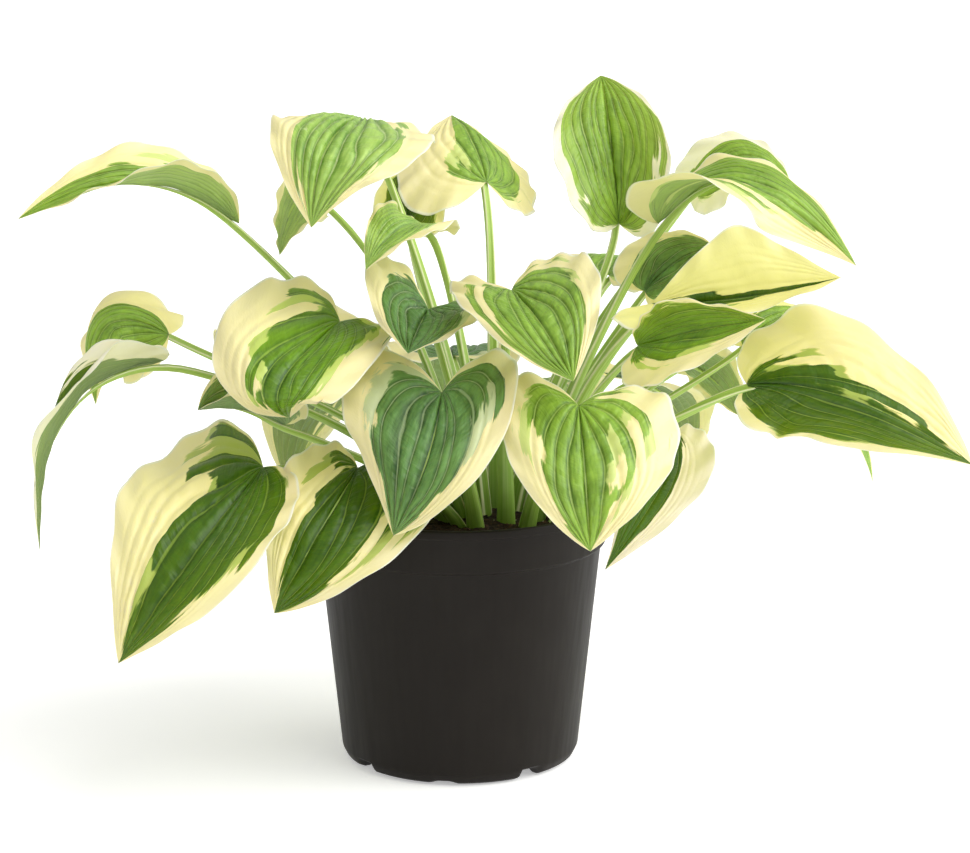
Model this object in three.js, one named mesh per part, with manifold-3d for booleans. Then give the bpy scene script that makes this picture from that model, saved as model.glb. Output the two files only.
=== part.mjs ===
// A variegated hosta in a plain nursery pot.
// Millimetres, +Z up. The origin is the middle of the pot's foot, on the surface it stands on.
// The plant's front, the side with the two large heart-shaped leaves, faces -Y.

import * as THREE from "three";
import { mergeVertices } from "three/addons/utils/BufferGeometryUtils.js";
import Module from "manifold-3d";

const wasm = await Module();
wasm.setup();

// Driving dimensions of the pot.
const POT_HEIGHT = 168;
const LIP_RADIUS = 95;
const LIP_HEIGHT = 5;
const COLLAR_RADIUS = 93.5;
const COLLAR_HEIGHT = 27;
const COLLAR_STEP = 3;
const FOOT_RADIUS = 75.5;
const FOOT_ROUND = 7;
const WALL = 2.2;
const FLOOR_HEIGHT = 9;
const MIDDLE_FOOT_RADIUS = 30;
const MIDDLE_FOOT_SLOPE = 4;
const POT_SIDES = 36;
const NOTCH_COUNT = 8;
const NOTCH_START = 217;
const DEEP_NOTCH = [15, 6];
const SHALLOW_NOTCH = [14, 1.5];
const DRAIN_RADIUS = 5;
const DRAIN_CIRCLE = 46;

// Driving dimensions of the soil.
const SOIL_TOP = 158;
const SOIL_CROWN = 3;
const CLEARANCE = 0.3;

// Driving dimensions that all leaves share.
const BLADE_THICKNESS = 1.2;
const STEM_DEPTH = 10;
const STEM_ROOT_RADIUS = 4.6;
const STEM_NECK_RADIUS = 2.6;
const STEM_SIDES = 5;
const STEM_STEPS = 6;
const VEIN_ROWS = [-1, -0.75, -0.4, 0, 0.4, 0.75, 1];
const BLADE_STEPS = 9;

// Each leaf, placed by hand. base, mid and tip are points of the midrib.
// root is where the stem leaves the soil: distance from the crown's middle and degrees round it from +X.
// face is the way the upper side looks at the base and at the tip.
// left and right are the two halves seen from above, from base to tip:
// width, rise from the midrib at the base and at the tip in degrees, and further bend out to the margin.
// lobe is how far the margin reaches back behind the base; a half may give its own as a fifth number.
// wave is height, number and start of the margin's waves.
const CROWN = [25, -12];
const LEAVES = [
  {
    name: "leaf_front_left", root: [36, 246],
    base: [-10, -90, 253], mid: [-19, -130, 219], tip: [-38, -140, 177],
    face: [[-0.1, -0.7, 0.7], [-0.3, -0.9, 0.4]],
    left: [43, 14, 5, -25], right: [57, 16, 5, -30], lobe: 1.1, wave: [3, 2, 0.5],
  },
  {
    name: "leaf_front_right", root: [36, 298],
    base: [72, -100, 247], mid: [75, -141, 211], tip: [78, -146, 169],
    face: [[0, -0.7, 0.7], [0.1, -0.95, 0.3]],
    left: [56, 10, 5, -32, 0.6], right: [46, 12, 5, -25, 0.95], lobe: 1, wave: [3, 2, 2],
  },
  {
    name: "leaf_left_round", root: [24, 206],
    base: [-73, -38, 287], mid: [-104, -112, 264], tip: [-101, -92, 238],
    face: [[0.1, -0.55, 0.8], [-0.2, -0.95, -0.1]],
    left: [36, 14, 0, -20, 0.5], right: [55, 10, 0, -20], lobe: 0.85, wave: [3, 2, 1],
  },
  {
    name: "leaf_low_left_outer", root: [36, 212],
    base: [-118, -85, 206], mid: [-156, -150, 166], tip: [-199, -165, 106],
    face: [[-0.3, -0.8, 0.5], [-0.35, -0.85, 0.4]],
    left: [37, 5, 5, -10, 0.1], right: [74, 5, 5, -20, 0.95], lobe: 0.6, wave: [4, 2, 0],
  },
  {
    name: "leaf_low_left_inner", root: [36, 228],
    base: [-61, -82, 205], mid: [-85, -128, 172], tip: [-109, -138, 129],
    face: [[-0.15, -0.8, 0.6], [-0.2, -0.9, 0.4]],
    left: [54, 5, 5, -10], right: [37, 5, 5, -10, 0.6], lobe: 0.85, wave: [3, 2, 1.5],
  },
  {
    name: "leaf_left_small", root: [36, 196],
    base: [-106, -60, 227], mid: [-132, -72, 240], tip: [-157, -85, 241],
    face: [[0, -0.1, 1], [0, -0.2, 1]],
    left: [24, 50, 40, 20], right: [36, 50, 40, 0], lobe: 0.4, wave: [2, 2, 0],
  },
  {
    name: "leaf_left_arched", stem: 0.85, root: [24, 183],
    base: [-183, 10, 270], mid: [-222, 5, 276], tip: [-227, -15, 230],
    face: [[0, -0.4, 0.9], [-0.8, -0.4, 0.2]],
    left: [38, -35, -20, -10], right: [30, 10, 0, -30], lobe: 0.25, wave: [4, 2.5, 0],
  },
  {
    name: "leaf_left_drooping", root: [36, 179],
    base: [-181, -40, 263], mid: [-241, -55, 232], tip: [-258, -60, 146],
    face: [[0, -0.1, 1], [-1, -0.2, 0.2]],
    left: [18, 60, 30, 0], right: [16, 60, 20, 0], lobe: 0.15, wave: [5, 2.5, 1],
  },
  {
    name: "leaf_far_left", root: [24, 161],
    base: [-140, 40, 336], mid: [-200, 15, 366], tip: [-273, -10, 346],
    face: [[0, -0.1, 1], [0, -0.5, 0.8]],
    left: [31, 58, 12, 10, -0.2], right: [26, 64, 26, -20, -0.1], lobe: 0.2, wave: [2, 2, 0],
  },
  {
    name: "leaf_top_left", root: [12, 170],
    base: [-58, 20, 404], mid: [-78, -62, 399], tip: [-88, -72, 350],
    face: [[0.1, -0.3, 0.95], [0.1, -0.95, 0.2]],
    left: [50, 10, 5, -20, 0.3], right: [42, 5, 0, -30], lobe: 0.5, wave: [3, 2, 0],
  },
  {
    name: "leaf_top_left_behind", stem: 0.8, root: [24, 140],
    base: [-98, 52, 356], mid: [-108, 46, 340], tip: [-114, 32, 317],
    face: [[0.5, 0.7, 0.4], [0.6, 0.7, 0.2]],
    left: [18, 10, 10, 10], right: [20, 10, 10, 10], lobe: 0.4, wave: [2, 2, 0],
  },
  {
    name: "leaf_upper_small", root: [12, 222],
    base: [-16, -2, 338], mid: [-36, -38, 345], tip: [-56, -64, 323],
    face: [[0, -0.3, 0.9], [-0.3, -0.9, 0.3]],
    left: [22, 15, 10, 0], right: [22, 15, 10, 0], lobe: 0.25, wave: [2, 2.5, 0],
  },
  {
    name: "leaf_upper_small_behind", stem: 0.85, root: [24, 120],
    base: [-34, 66, 332], mid: [-24, 78, 360], tip: [-2, 92, 352],
    face: [[0, -0.3, 0.9], [0.3, -0.4, 0.8]],
    left: [22, 10, 0, -20], right: [22, 10, 0, -20], lobe: 0.5, wave: [2, 2, 0],
  },
  {
    name: "leaf_upper_dark", root: [24, 234],
    base: [-19, -30, 293], mid: [-24, -62, 288], tip: [-30, -92, 277],
    face: [[0, -0.2, 1], [0, -0.6, 0.8]],
    left: [36, 15, 10, -10], right: [45, 50, 15, -20, 1.3], lobe: 0.7, wave: [2, 2, 0],
  },
  {
    name: "leaf_centre", root: [24, 280],
    base: [32, -60, 310], mid: [50, -102, 296], tip: [68, -122, 266],
    face: [[0.1, -0.55, 0.85], [0.2, -0.8, 0.55]],
    left: [48, 22, 5, -15], right: [36, 22, -5, -30, 0.8], lobe: 0.95, wave: [2, 2, 0],
  },
  {
    name: "leaf_top_centre", root: [12, 105],
    base: [17, 60, 360], mid: [8, 84, 384], tip: [-6, 120, 396], face: [[0, -0.5, 0.8], [0, -0.4, 0.9]],
    left: [54, 20, 0, -40], right: [42, -35, -35, -10], lobe: 0.8, wave: [2, 2, 0],
  },
  {
    name: "leaf_tall", root: [12, 45],
    base: [103, 88, 329], mid: [97, 104, 388], tip: [92, 130, 421], face: [[0, -0.9, 0.3], [0, -0.95, 0.2]],
    left: [42, 55, 0, -10, 0.25], right: [38, 50, 0, -10], lobe: 0.4, wave: [3, 2, 0],
  },
  {
    name: "leaf_arching_right", stem: 1.15, root: [24, 31],
    base: [126, 40, 336], mid: [182, 28, 366], tip: [250, 20, 312],
    face: [[0, -0.1, 1], [0.3, -0.6, 0.7]],
    left: [29, 20, 0, -20, 0], right: [48, 60, -45, 0], lobe: 0.12, wave: [2, 2, 0],
  },
  {
    name: "leaf_level_right", stem: 1.4, root: [24, 345],
    base: [119, -20, 295], mid: [178, -25, 300], tip: [235, -30, 313], face: [[0, -0.1, 1], [0, -0.1, 1]],
    left: [40, 70, 55, 10, -0.35], right: [26, -15, -5, 0], lobe: 0.7, wave: [2, 2, 0],
  },
  {
    name: "leaf_dark_right", root: [24, 317],
    base: [109, -55, 275], mid: [143, -73, 287], tip: [184, -88, 297],
    face: [[0, -0.75, 0.65], [0, -0.7, 0.7]],
    left: [23, 4, 5, 0, 0.25], right: [32, 7, 5, 0, 0.45], lobe: 0.5, wave: [2, 2, 0],
  },
  {
    name: "leaf_far_right", root: [36, 337],
    base: [177, -40, 248], mid: [240, -72, 245], tip: [311, -85, 207],
    face: [[0, -0.6, 0.8], [0.1, -0.7, 0.7]],
    left: [62, 10, 5, -20, 0.45], right: [34, -66, -5, -20, 0.4], lobe: 0.6, wave: [5, 2, 0.5],
  },
  {
    name: "leaf_far_right_behind", stem: 0.8, root: [24, 9],
    base: [179, 12, 262], mid: [199, 22, 277], tip: [222, 38, 280],
    face: [[0, -0.6, 0.8], [0, -0.6, 0.8]],
    left: [22, 20, 10, 0], right: [22, 20, 10, 0], lobe: 0.4, wave: [2, 2, 0],
  },
  {
    name: "leaf_hanging_right", root: [36, 356],
    base: [136, 12, 207], mid: [127, -14, 178], tip: [91, -32, 128],
    face: [[0.3, -0.6, 0.7], [0.3, -0.9, 0]],
    left: [24, 10, 5, 0], right: [28, 10, 5, 0], lobe: 0.3, wave: [3, 2, 0],
  },
  {
    name: "leaf_right_under", stem: 0.85, root: [36, 20],
    base: [137, 32, 252], mid: [161, 34, 238], tip: [180, 28, 213],
    face: [[0, 0.5, 0.8], [0.3, 0.8, 0.3]],
    left: [22, 10, 5, 0, 0.2], right: [26, 10, 5, 0], lobe: 0.5, wave: [2, 2, 0],
  },
  {
    name: "leaf_right_lower_tip", stem: 0.85, root: [36, 36],
    base: [192, 84, 258], mid: [240, 62, 226], tip: [265, 30, 170],
    face: [[0, -0.2, 1], [0.8, -0.3, 0.3]],
    left: [26, 10, 5, 0], right: [26, 10, 5, 0], lobe: 0.5, wave: [2, 2, 0],
  },
  {
    name: "leaf_right_inner", stem: 0.85, root: [24, 54],
    base: [118, 44, 292], mid: [140, 46, 312], tip: [162, 42, 320],
    face: [[0, -0.7, 0.7], [0, -0.7, 0.7]],
    left: [26, 10, 5, 0], right: [24, 10, 5, 0], lobe: 0.5, wave: [2, 2, 0],
  },
  {
    name: "leaf_right_back_top", stem: 0.85, root: [24, 76],
    base: [151, 96, 350], mid: [184, 97, 373], tip: [214, 90, 356],
    face: [[0, -0.4, 0.9], [0.2, -0.4, 0.8]],
    left: [22, 10, 5, 0, 0.3], right: [26, 10, 5, -20], lobe: 0.5, wave: [2, 2, 0],
  },
  {
    name: "leaf_back_right_low", root: [36, 54],
    base: [112, 105, 222], mid: [142, 150, 200], tip: [158, 178, 150],
    face: [[0.2, 0.2, 1], [0.7, 0.6, 0.4]],
    left: [40, 10, 5, -10], right: [40, 10, 5, -10], lobe: 0.65, wave: [3, 2, 0],
  },
  {
    name: "leaf_back_low", root: [36, 96],
    base: [42, 130, 215], mid: [50, 190, 190], tip: [52, 215, 130], face: [[0, 0.3, 1], [0, 0.9, 0.4]],
    left: [48, 10, 5, -10], right: [50, 10, 5, -10], lobe: 0.65, wave: [3, 2, 1],
  },
  {
    name: "leaf_back_left_low", root: [36, 126],
    base: [-62, 105, 220], mid: [-100, 150, 195], tip: [-120, 175, 135],
    face: [[-0.1, 0.3, 1], [-0.5, 0.8, 0.4]],
    left: [46, 10, 5, -10], right: [48, 10, 5, -10], lobe: 0.65, wave: [3, 2, 2],
  },
  {
    name: "leaf_back_left_mid", root: [36, 150],
    base: [-95, 62, 255], mid: [-132, 100, 262], tip: [-160, 135, 225],
    face: [[-0.1, 0, 1], [-0.4, 0.5, 0.8]],
    left: [40, 10, 5, -10], right: [42, 10, 5, -10], lobe: 0.65, wave: [3, 2, 0],
  },
  {
    name: "leaf_back_mid", stem: 0.85, root: [24, 100],
    base: [-5, 118, 236], mid: [-10, 165, 228], tip: [-12, 200, 185], face: [[0, 0.2, 1], [0, 0.8, 0.5]],
    left: [44, 10, 5, -10], right: [44, 10, 5, -10], lobe: 0.65, wave: [3, 2, 1],
  },
  {
    name: "leaf_back_right_mid", root: [36, 72],
    base: [98, 120, 290], mid: [130, 165, 288], tip: [150, 195, 240],
    face: [[0.1, 0.1, 1], [0.4, 0.7, 0.5]],
    left: [42, 10, 5, -10], right: [42, 10, 5, -10], lobe: 0.65, wave: [3, 2, 2],
  },
];

const LEAF_COLOUR = 0x5f8f3c;
const POT_COLOUR = 0x37342f;
const SOIL_COLOUR = 0x1c1613;

// Arithmetic on points.

const vec = ([x, y, z]) => new THREE.Vector3(x, y, z);
const mix = (from, to, part) => from + (to - from) * part;
const radians = THREE.MathUtils.degToRad;

// Solids: a closed geometry becomes a manifold, is joined or cut, and becomes a geometry again.

function toSolid(geometry) {
  const bare = geometry.clone();
  bare.deleteAttribute("normal");
  bare.deleteAttribute("uv");
  const merged = mergeVertices(bare, 1e-4);
  return new wasm.Manifold(new wasm.Mesh({
    numProp: 3,
    vertProperties: new Float32Array(merged.attributes.position.array),
    triVerts: new Uint32Array(merged.index.array),
  }));
}

function toGeometry(solid) {
  const mesh = solid.getMesh();
  const geometry = new THREE.BufferGeometry();
  geometry.setAttribute("position", new THREE.BufferAttribute(mesh.vertProperties, 3));
  geometry.setIndex(new THREE.BufferAttribute(mesh.triVerts, 1));
  geometry.computeVertexNormals();
  return geometry;
}

function indexedGeometry(points, triangles) {
  const geometry = new THREE.BufferGeometry();
  const numbers = points.flatMap((point) => [point.x, point.y, point.z]);
  geometry.setAttribute("position", new THREE.Float32BufferAttribute(numbers, 3));
  geometry.setIndex(triangles.flat());
  return geometry;
}

function node(name, geometry, colour, roughness) {
  const material = new THREE.MeshStandardMaterial({ color: colour, roughness, metalness: 0 });
  const mesh = new THREE.Mesh(geometry, material);
  mesh.name = name;
  return mesh;
}

// The midrib is the parabola through base, mid and tip. Behind the base it runs straight on.

function midribOf(leaf) {
  const base = vec(leaf.base);
  const tip = vec(leaf.tip);
  const bend = vec(leaf.mid).multiplyScalar(2).addScaledVector(base, -0.5).addScaledVector(tip, -0.5);
  const curve = new THREE.QuadraticBezierCurve3(base, bend, tip);
  return { curve, length: curve.getLength(), start: curve.getTangent(0) };
}

// The frame at a share of the midrib: point, way along it, upper side and right-hand side.

function frameAt(leaf, midrib, share) {
  const along = THREE.MathUtils.clamp(share, 0, 1);
  const tangent = midrib.curve.getTangent(along);
  const point = midrib.curve.getPoint(along);
  if (share < 0) point.addScaledVector(midrib.start, share * midrib.length);
  const up = vec(leaf.face[0]).normalize().lerp(vec(leaf.face[1]).normalize(), along);
  up.addScaledVector(tangent, -up.dot(tangent)).normalize();
  return { point, tangent, up, side: tangent.clone().cross(up) };
}

// Veins leave the base as a fan, run out in arcs and meet again at the tip.
// vein is -1 at the left margin, 0 on the midrib and 1 at the right margin; share is the way along the vein.
// The result is how far along the midrib and how far across the half, both as shares.

const DRAWN_TIP = 0.4;
const LOBE_WIDTH = 0.62;
const WIDEST = 2;
const halfOf = (leaf, vein) => (vein < 0 ? leaf.left : leaf.right);

function flatPoint(leaf, vein, share) {
  const out = Math.abs(vein);
  const near = 3 * (1 - share) ** 2 * share;
  const far = 3 * (1 - share) * share ** 2;
  const lobe = halfOf(leaf, vein)[4] ?? leaf.lobe;
  const along = near * mix(0.33, -lobe, out ** 1.5) + far * mix(0.67, 0.58, out ** 2) + share ** 3;
  const across = (near * LOBE_WIDTH + far * 0.9) * out * WIDEST * (1 - DRAWN_TIP * share ** 3);
  return { along, across };
}

// A half rises from the midrib by an angle and bends on evenly towards the margin, where waves run along it.

function bladePoint(leaf, midrib, vein, share) {
  const { along, across } = flatPoint(leaf, vein, share);
  const frame = frameAt(leaf, midrib, along);
  const [width, riseBase, riseTip, bend] = halfOf(leaf, vein);
  const rise = radians(mix(riseBase, riseTip, THREE.MathUtils.clamp(along, 0, 1)));
  const turn = radians(bend) || 1e-4;
  const angle = rise + turn * across;
  const sideways = (width * (Math.sin(angle) - Math.sin(rise))) / turn;
  const upwards = (width * (Math.cos(rise) - Math.cos(angle))) / turn;
  const [height, count, start] = leaf.wave;
  const phase = 2 * Math.PI * count * share + start + (vein < 0 ? 1.3 : 0);
  const wave = height * across ** 2 * Math.sin(phase) * Math.sin(Math.PI * share) ** 0.5;
  return frame.point
    .addScaledVector(frame.side, Math.sign(vein) * sideways)
    .addScaledVector(frame.up, upwards + wave);
}

// The blade's upper side looks along this normal, found from two short steps on the surface.

function bladeNormal(leaf, midrib, vein, share) {
  const step = 0.01;
  const low = Math.max(share - step, step);
  const high = Math.min(share + step, 1 - step);
  const inner = THREE.MathUtils.clamp(vein - step, -1, 1);
  const outer = THREE.MathUtils.clamp(vein + step, -1, 1);
  const middle = THREE.MathUtils.clamp(share, step, 1 - step);
  const forward = bladePoint(leaf, midrib, vein, high).sub(bladePoint(leaf, midrib, vein, low));
  const across = bladePoint(leaf, midrib, outer, middle).sub(bladePoint(leaf, midrib, inner, middle));
  return across.cross(forward).normalize();
}

// A blade is one closed skin: the same triangles above and below, a rim along each margin,
// and one point at each end.

function bladeSolid(leaf, midrib) {
  const rows = VEIN_ROWS.length;
  const columns = BLADE_STEPS - 1;
  const points = [];
  for (const sign of [1, -1]) {
    for (const vein of VEIN_ROWS) {
      for (let step = 1; step <= columns; step++) {
        const share = step / BLADE_STEPS;
        const normal = bladeNormal(leaf, midrib, vein, share);
        const point = bladePoint(leaf, midrib, vein, share);
        points.push(point.addScaledVector(normal, (sign * BLADE_THICKNESS) / 2));
      }
    }
  }
  const basePoint = points.push(vec(leaf.base)) - 1;
  const tipPoint = points.push(vec(leaf.tip)) - 1;
  const at = (layer, row, step) => (layer * rows + row) * columns + step;
  const triangles = [];
  const addFace = (layer, a, b, c) => triangles.push(layer ? [a, c, b] : [a, b, c]);
  for (const layer of [0, 1]) {
    for (let row = 0; row < rows - 1; row++) {
      addFace(layer, basePoint, at(layer, row + 1, 0), at(layer, row, 0));
      for (let step = 0; step < columns - 1; step++) {
        addFace(layer, at(layer, row, step), at(layer, row + 1, step), at(layer, row + 1, step + 1));
        addFace(layer, at(layer, row, step), at(layer, row + 1, step + 1), at(layer, row, step + 1));
      }
      addFace(layer, tipPoint, at(layer, row, columns - 1), at(layer, row + 1, columns - 1));
    }
  }
  for (const [row, flip] of [[0, 0], [rows - 1, 1]]) {
    addFace(flip, basePoint, at(0, row, 0), at(1, row, 0));
    for (let step = 0; step < columns - 1; step++) {
      addFace(flip, at(0, row, step), at(0, row, step + 1), at(1, row, step + 1));
      addFace(flip, at(0, row, step), at(1, row, step + 1), at(1, row, step));
    }
    addFace(flip, tipPoint, at(1, row, columns - 1), at(0, row, columns - 1));
  }
  return toSolid(indexedGeometry(points, triangles));
}

// The stem climbs out of the soil, arches over and meets the blade at its base.
// lean is how far its foot points towards the neck, and neck how far its end turns into the midrib.

function stemCurve(leaf, midrib) {
  const [distance, turn] = leaf.root;
  const root = new THREE.Vector3(CROWN[0], CROWN[1], SOIL_TOP);
  root.x += distance * Math.cos(radians(turn));
  root.y += distance * Math.sin(radians(turn));
  const neck = vec(leaf.base);
  const reach = neck.distanceTo(root);
  const away = neck.clone().sub(root).normalize();
  const rise = new THREE.Vector3(0, 0, 1).addScaledVector(away, leaf.lean ?? 0.6);
  const into = away.clone().addScaledVector(midrib.start, leaf.neck ?? 0.5).normalize();
  const foot = root.clone().addScaledVector(rise.normalize(), -STEM_DEPTH);
  return new THREE.CubicBezierCurve3(
    foot,
    foot.clone().addScaledVector(rise, STEM_DEPTH + reach * 0.3),
    neck.clone().addScaledVector(into, -reach * 0.3),
    neck.clone().addScaledVector(into, STEM_NECK_RADIUS),
  );
}

function stemSolid(leaf, midrib, extra) {
  const curve = stemCurve(leaf, midrib);
  const reach = curve.v3.clone().sub(curve.v0);
  const level = new THREE.Vector3(-reach.y, reach.x, 0).normalize();
  const points = [];
  const size = leaf.stem ?? 1;
  for (let step = 0; step <= STEM_STEPS; step++) {
    const share = step / STEM_STEPS;
    const centre = curve.getPoint(share);
    const tangent = curve.getTangent(share);
    if (step === 0) centre.addScaledVector(tangent, -extra);
    const up = tangent.clone().cross(level).normalize();
    const across = up.clone().cross(tangent);
    const radius = size * mix(STEM_ROOT_RADIUS, STEM_NECK_RADIUS, share ** 0.6) + extra;
    for (let side = 0; side < STEM_SIDES; side++) {
      const angle = (2 * Math.PI * side) / STEM_SIDES;
      points.push(centre.clone()
        .addScaledVector(across, radius * Math.cos(angle))
        .addScaledVector(up, radius * Math.sin(angle)));
    }
  }
  const triangles = [];
  const at = (step, side) => step * STEM_SIDES + (side % STEM_SIDES);
  for (let step = 0; step < STEM_STEPS; step++) {
    for (let side = 0; side < STEM_SIDES; side++) {
      triangles.push([at(step, side), at(step, side + 1), at(step + 1, side + 1)]);
      triangles.push([at(step, side), at(step + 1, side + 1), at(step + 1, side)]);
    }
  }
  for (let side = 1; side < STEM_SIDES - 1; side++) {
    triangles.push([at(0, 0), at(0, side + 1), at(0, side)]);
    triangles.push([at(STEM_STEPS, 0), at(STEM_STEPS, side), at(STEM_STEPS, side + 1)]);
  }
  return toSolid(indexedGeometry(points, triangles));
}

// The pot is turned: outside from the foot up to the lip, inside down again, then floor and foot ring.
// The middle of the floor dips to stand on the ground like the ring, and drain holes lie between the two.
// Notches in the foot ring let the water out. Every other one is shallow.

function potOutside() {
  const shoulder = POT_HEIGHT - COLLAR_HEIGHT;
  const shoulderRadius = COLLAR_RADIUS - COLLAR_STEP - 1;
  return [
    [FOOT_RADIUS - FOOT_ROUND, 0],
    [FOOT_RADIUS - FOOT_ROUND * 0.35, FOOT_ROUND * 0.3],
    [FOOT_RADIUS, FOOT_ROUND],
    [shoulderRadius, shoulder - 2],
    [COLLAR_RADIUS - 1, shoulder],
    [COLLAR_RADIUS, POT_HEIGHT - LIP_HEIGHT - 1],
    [LIP_RADIUS, POT_HEIGHT - LIP_HEIGHT],
    [LIP_RADIUS, POT_HEIGHT - 1],
    [LIP_RADIUS - 1, POT_HEIGHT],
  ];
}

function innerRadius(height) {
  const slope = (COLLAR_RADIUS - COLLAR_STEP - FOOT_RADIUS) / (POT_HEIGHT - COLLAR_HEIGHT);
  return FOOT_RADIUS - WALL - 0.5 + slope * Math.min(height, POT_HEIGHT - COLLAR_HEIGHT - 6);
}

function makePot() {
  const shoulder = POT_HEIGHT - COLLAR_HEIGHT;
  const inside = [
    [LIP_RADIUS - WALL - 1, POT_HEIGHT],
    [COLLAR_RADIUS - WALL - 1, POT_HEIGHT - LIP_HEIGHT],
    [COLLAR_RADIUS - WALL - 1.5, shoulder + 2],
    [innerRadius(shoulder), shoulder - 6],
    [innerRadius(FLOOR_HEIGHT), FLOOR_HEIGHT],
    [MIDDLE_FOOT_RADIUS + MIDDLE_FOOT_SLOPE, FLOOR_HEIGHT],
    [MIDDLE_FOOT_RADIUS, WALL],
    [0, WALL],
    [0, 0],
    [MIDDLE_FOOT_RADIUS + 1.5, 0],
    [MIDDLE_FOOT_RADIUS + MIDDLE_FOOT_SLOPE + 1.5, FLOOR_HEIGHT - WALL],
    [FOOT_RADIUS - FOOT_ROUND - 5, FLOOR_HEIGHT - WALL],
    [FOOT_RADIUS - FOOT_ROUND - 4, 0],
  ];
  const profile = [...potOutside(), ...inside].map(([radius, height]) => new THREE.Vector2(radius, height));
  profile.push(profile[0].clone());
  const lathe = new THREE.LatheGeometry(profile, POT_SIDES);
  lathe.rotateX(Math.PI / 2);
  let pot = toSolid(lathe);
  for (let index = 0; index < NOTCH_COUNT; index++) {
    const angle = radians(NOTCH_START) + (2 * Math.PI * index) / NOTCH_COUNT;
    const [width, height] = index % 2 ? SHALLOW_NOTCH : DEEP_NOTCH;
    const notch = new THREE.BoxGeometry(24, width, 2 * height);
    notch.translate(FOOT_RADIUS - 2, 0, 0);
    notch.rotateZ(angle);
    pot = pot.subtract(toSolid(notch));
    const drain = new THREE.CylinderGeometry(DRAIN_RADIUS, DRAIN_RADIUS, 3 * WALL, 12);
    drain.rotateX(Math.PI / 2);
    drain.translate(DRAIN_CIRCLE * Math.cos(angle), DRAIN_CIRCLE * Math.sin(angle), FLOOR_HEIGHT - WALL / 2);
    pot = pot.subtract(toSolid(drain));
  }
  return node("pot", toGeometry(pot), POT_COLOUR, 0.55);
}

// The soil fills the pot with a small clearance, rises a little to the middle and has a hole for each stem.

function makeSoil(holes) {
  const shoulder = POT_HEIGHT - COLLAR_HEIGHT;
  const rimRadius = COLLAR_RADIUS - WALL - 1.5 - 2 * CLEARANCE;
  const profile = [
    [0, WALL + CLEARANCE],
    [MIDDLE_FOOT_RADIUS - 2 * CLEARANCE, WALL + CLEARANCE],
    [MIDDLE_FOOT_RADIUS + MIDDLE_FOOT_SLOPE - 2 * CLEARANCE, FLOOR_HEIGHT + CLEARANCE],
    [innerRadius(FLOOR_HEIGHT) - 2 * CLEARANCE, FLOOR_HEIGHT + CLEARANCE],
    [innerRadius(shoulder) - 2 * CLEARANCE, shoulder - 6],
    [rimRadius, shoulder + 2.5],
    [rimRadius, SOIL_TOP - 3],
    [rimRadius * 0.8, SOIL_TOP - 1],
    [0, SOIL_TOP + SOIL_CROWN],
  ].map(([radius, height]) => new THREE.Vector2(radius, height));
  const lathe = new THREE.LatheGeometry(profile, POT_SIDES);
  lathe.rotateX(Math.PI / 2);
  const soil = holes.reduce((body, hole) => body.subtract(hole), toSolid(lathe));
  return node("soil", toGeometry(soil), SOIL_COLOUR, 0.95);
}

// The potted plant.

const plant = new THREE.Group();
plant.add(makePot());
const holes = [];
for (const leaf of LEAVES) {
  const midrib = midribOf(leaf);
  const solid = bladeSolid(leaf, midrib).add(stemSolid(leaf, midrib, 0));
  holes.push(stemSolid(leaf, midrib, CLEARANCE));
  plant.add(node(leaf.name, toGeometry(solid), LEAF_COLOUR, 0.5));
}
plant.add(makeSoil(holes));

export default plant;
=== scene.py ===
"""A variegated hosta in a plain nursery pot: fine leaves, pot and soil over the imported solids.

Metres, +Z up. Lengths in the constants and lists below are millimetres, as in the part's source.
"""

import math
from functools import partial

import bpy
import numpy as np
from bpy.props import FloatProperty, FloatVectorProperty, IntProperty, PointerProperty
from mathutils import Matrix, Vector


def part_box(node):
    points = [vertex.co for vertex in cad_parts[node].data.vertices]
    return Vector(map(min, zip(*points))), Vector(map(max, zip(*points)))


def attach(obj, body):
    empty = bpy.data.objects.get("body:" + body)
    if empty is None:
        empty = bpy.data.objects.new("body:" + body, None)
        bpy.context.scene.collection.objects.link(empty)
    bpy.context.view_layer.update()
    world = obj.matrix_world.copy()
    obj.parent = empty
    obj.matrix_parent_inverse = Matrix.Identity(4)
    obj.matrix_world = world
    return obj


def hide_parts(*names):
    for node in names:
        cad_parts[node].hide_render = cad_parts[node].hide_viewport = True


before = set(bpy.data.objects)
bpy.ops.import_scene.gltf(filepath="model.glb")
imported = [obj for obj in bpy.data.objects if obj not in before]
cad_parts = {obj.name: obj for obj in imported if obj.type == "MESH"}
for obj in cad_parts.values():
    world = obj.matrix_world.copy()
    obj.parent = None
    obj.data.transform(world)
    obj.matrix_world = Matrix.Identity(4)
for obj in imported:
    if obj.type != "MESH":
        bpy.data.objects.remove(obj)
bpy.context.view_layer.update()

bl_info = {
    "name": "Potted Hosta",
    "version": (1, 0, 0),
    "blender": (4, 5, 0),
    "location": "View3D > Sidebar > Hosta",
    "description": "Builds a variegated hosta in a nursery pot over its packed solids",
    "category": "Add Mesh",
}

MM = 0.001
FULL_TURN = 2 * math.pi

# The one body, on which all pieces ride.
ROOT = "root"

# The crown, where all stems leave the soil, and the stems' ends, as in the solids.
CROWN = (25, -12)
SOIL_TOP = 158
SOIL_CROWN = 3
STEM_DEPTH = 10
STEM_ROOT_RADIUS = 4.6
STEM_NECK_RADIUS = 2.6

# How far a stem's foot leans towards its neck, how far the neck turns into the midrib, and how far the
# handles of its curve reach, as a share of the straight way from foot to neck.
STEM_LEAN = 0.6
STEM_TURN = 0.5
STEM_HANDLE = 0.3

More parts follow.
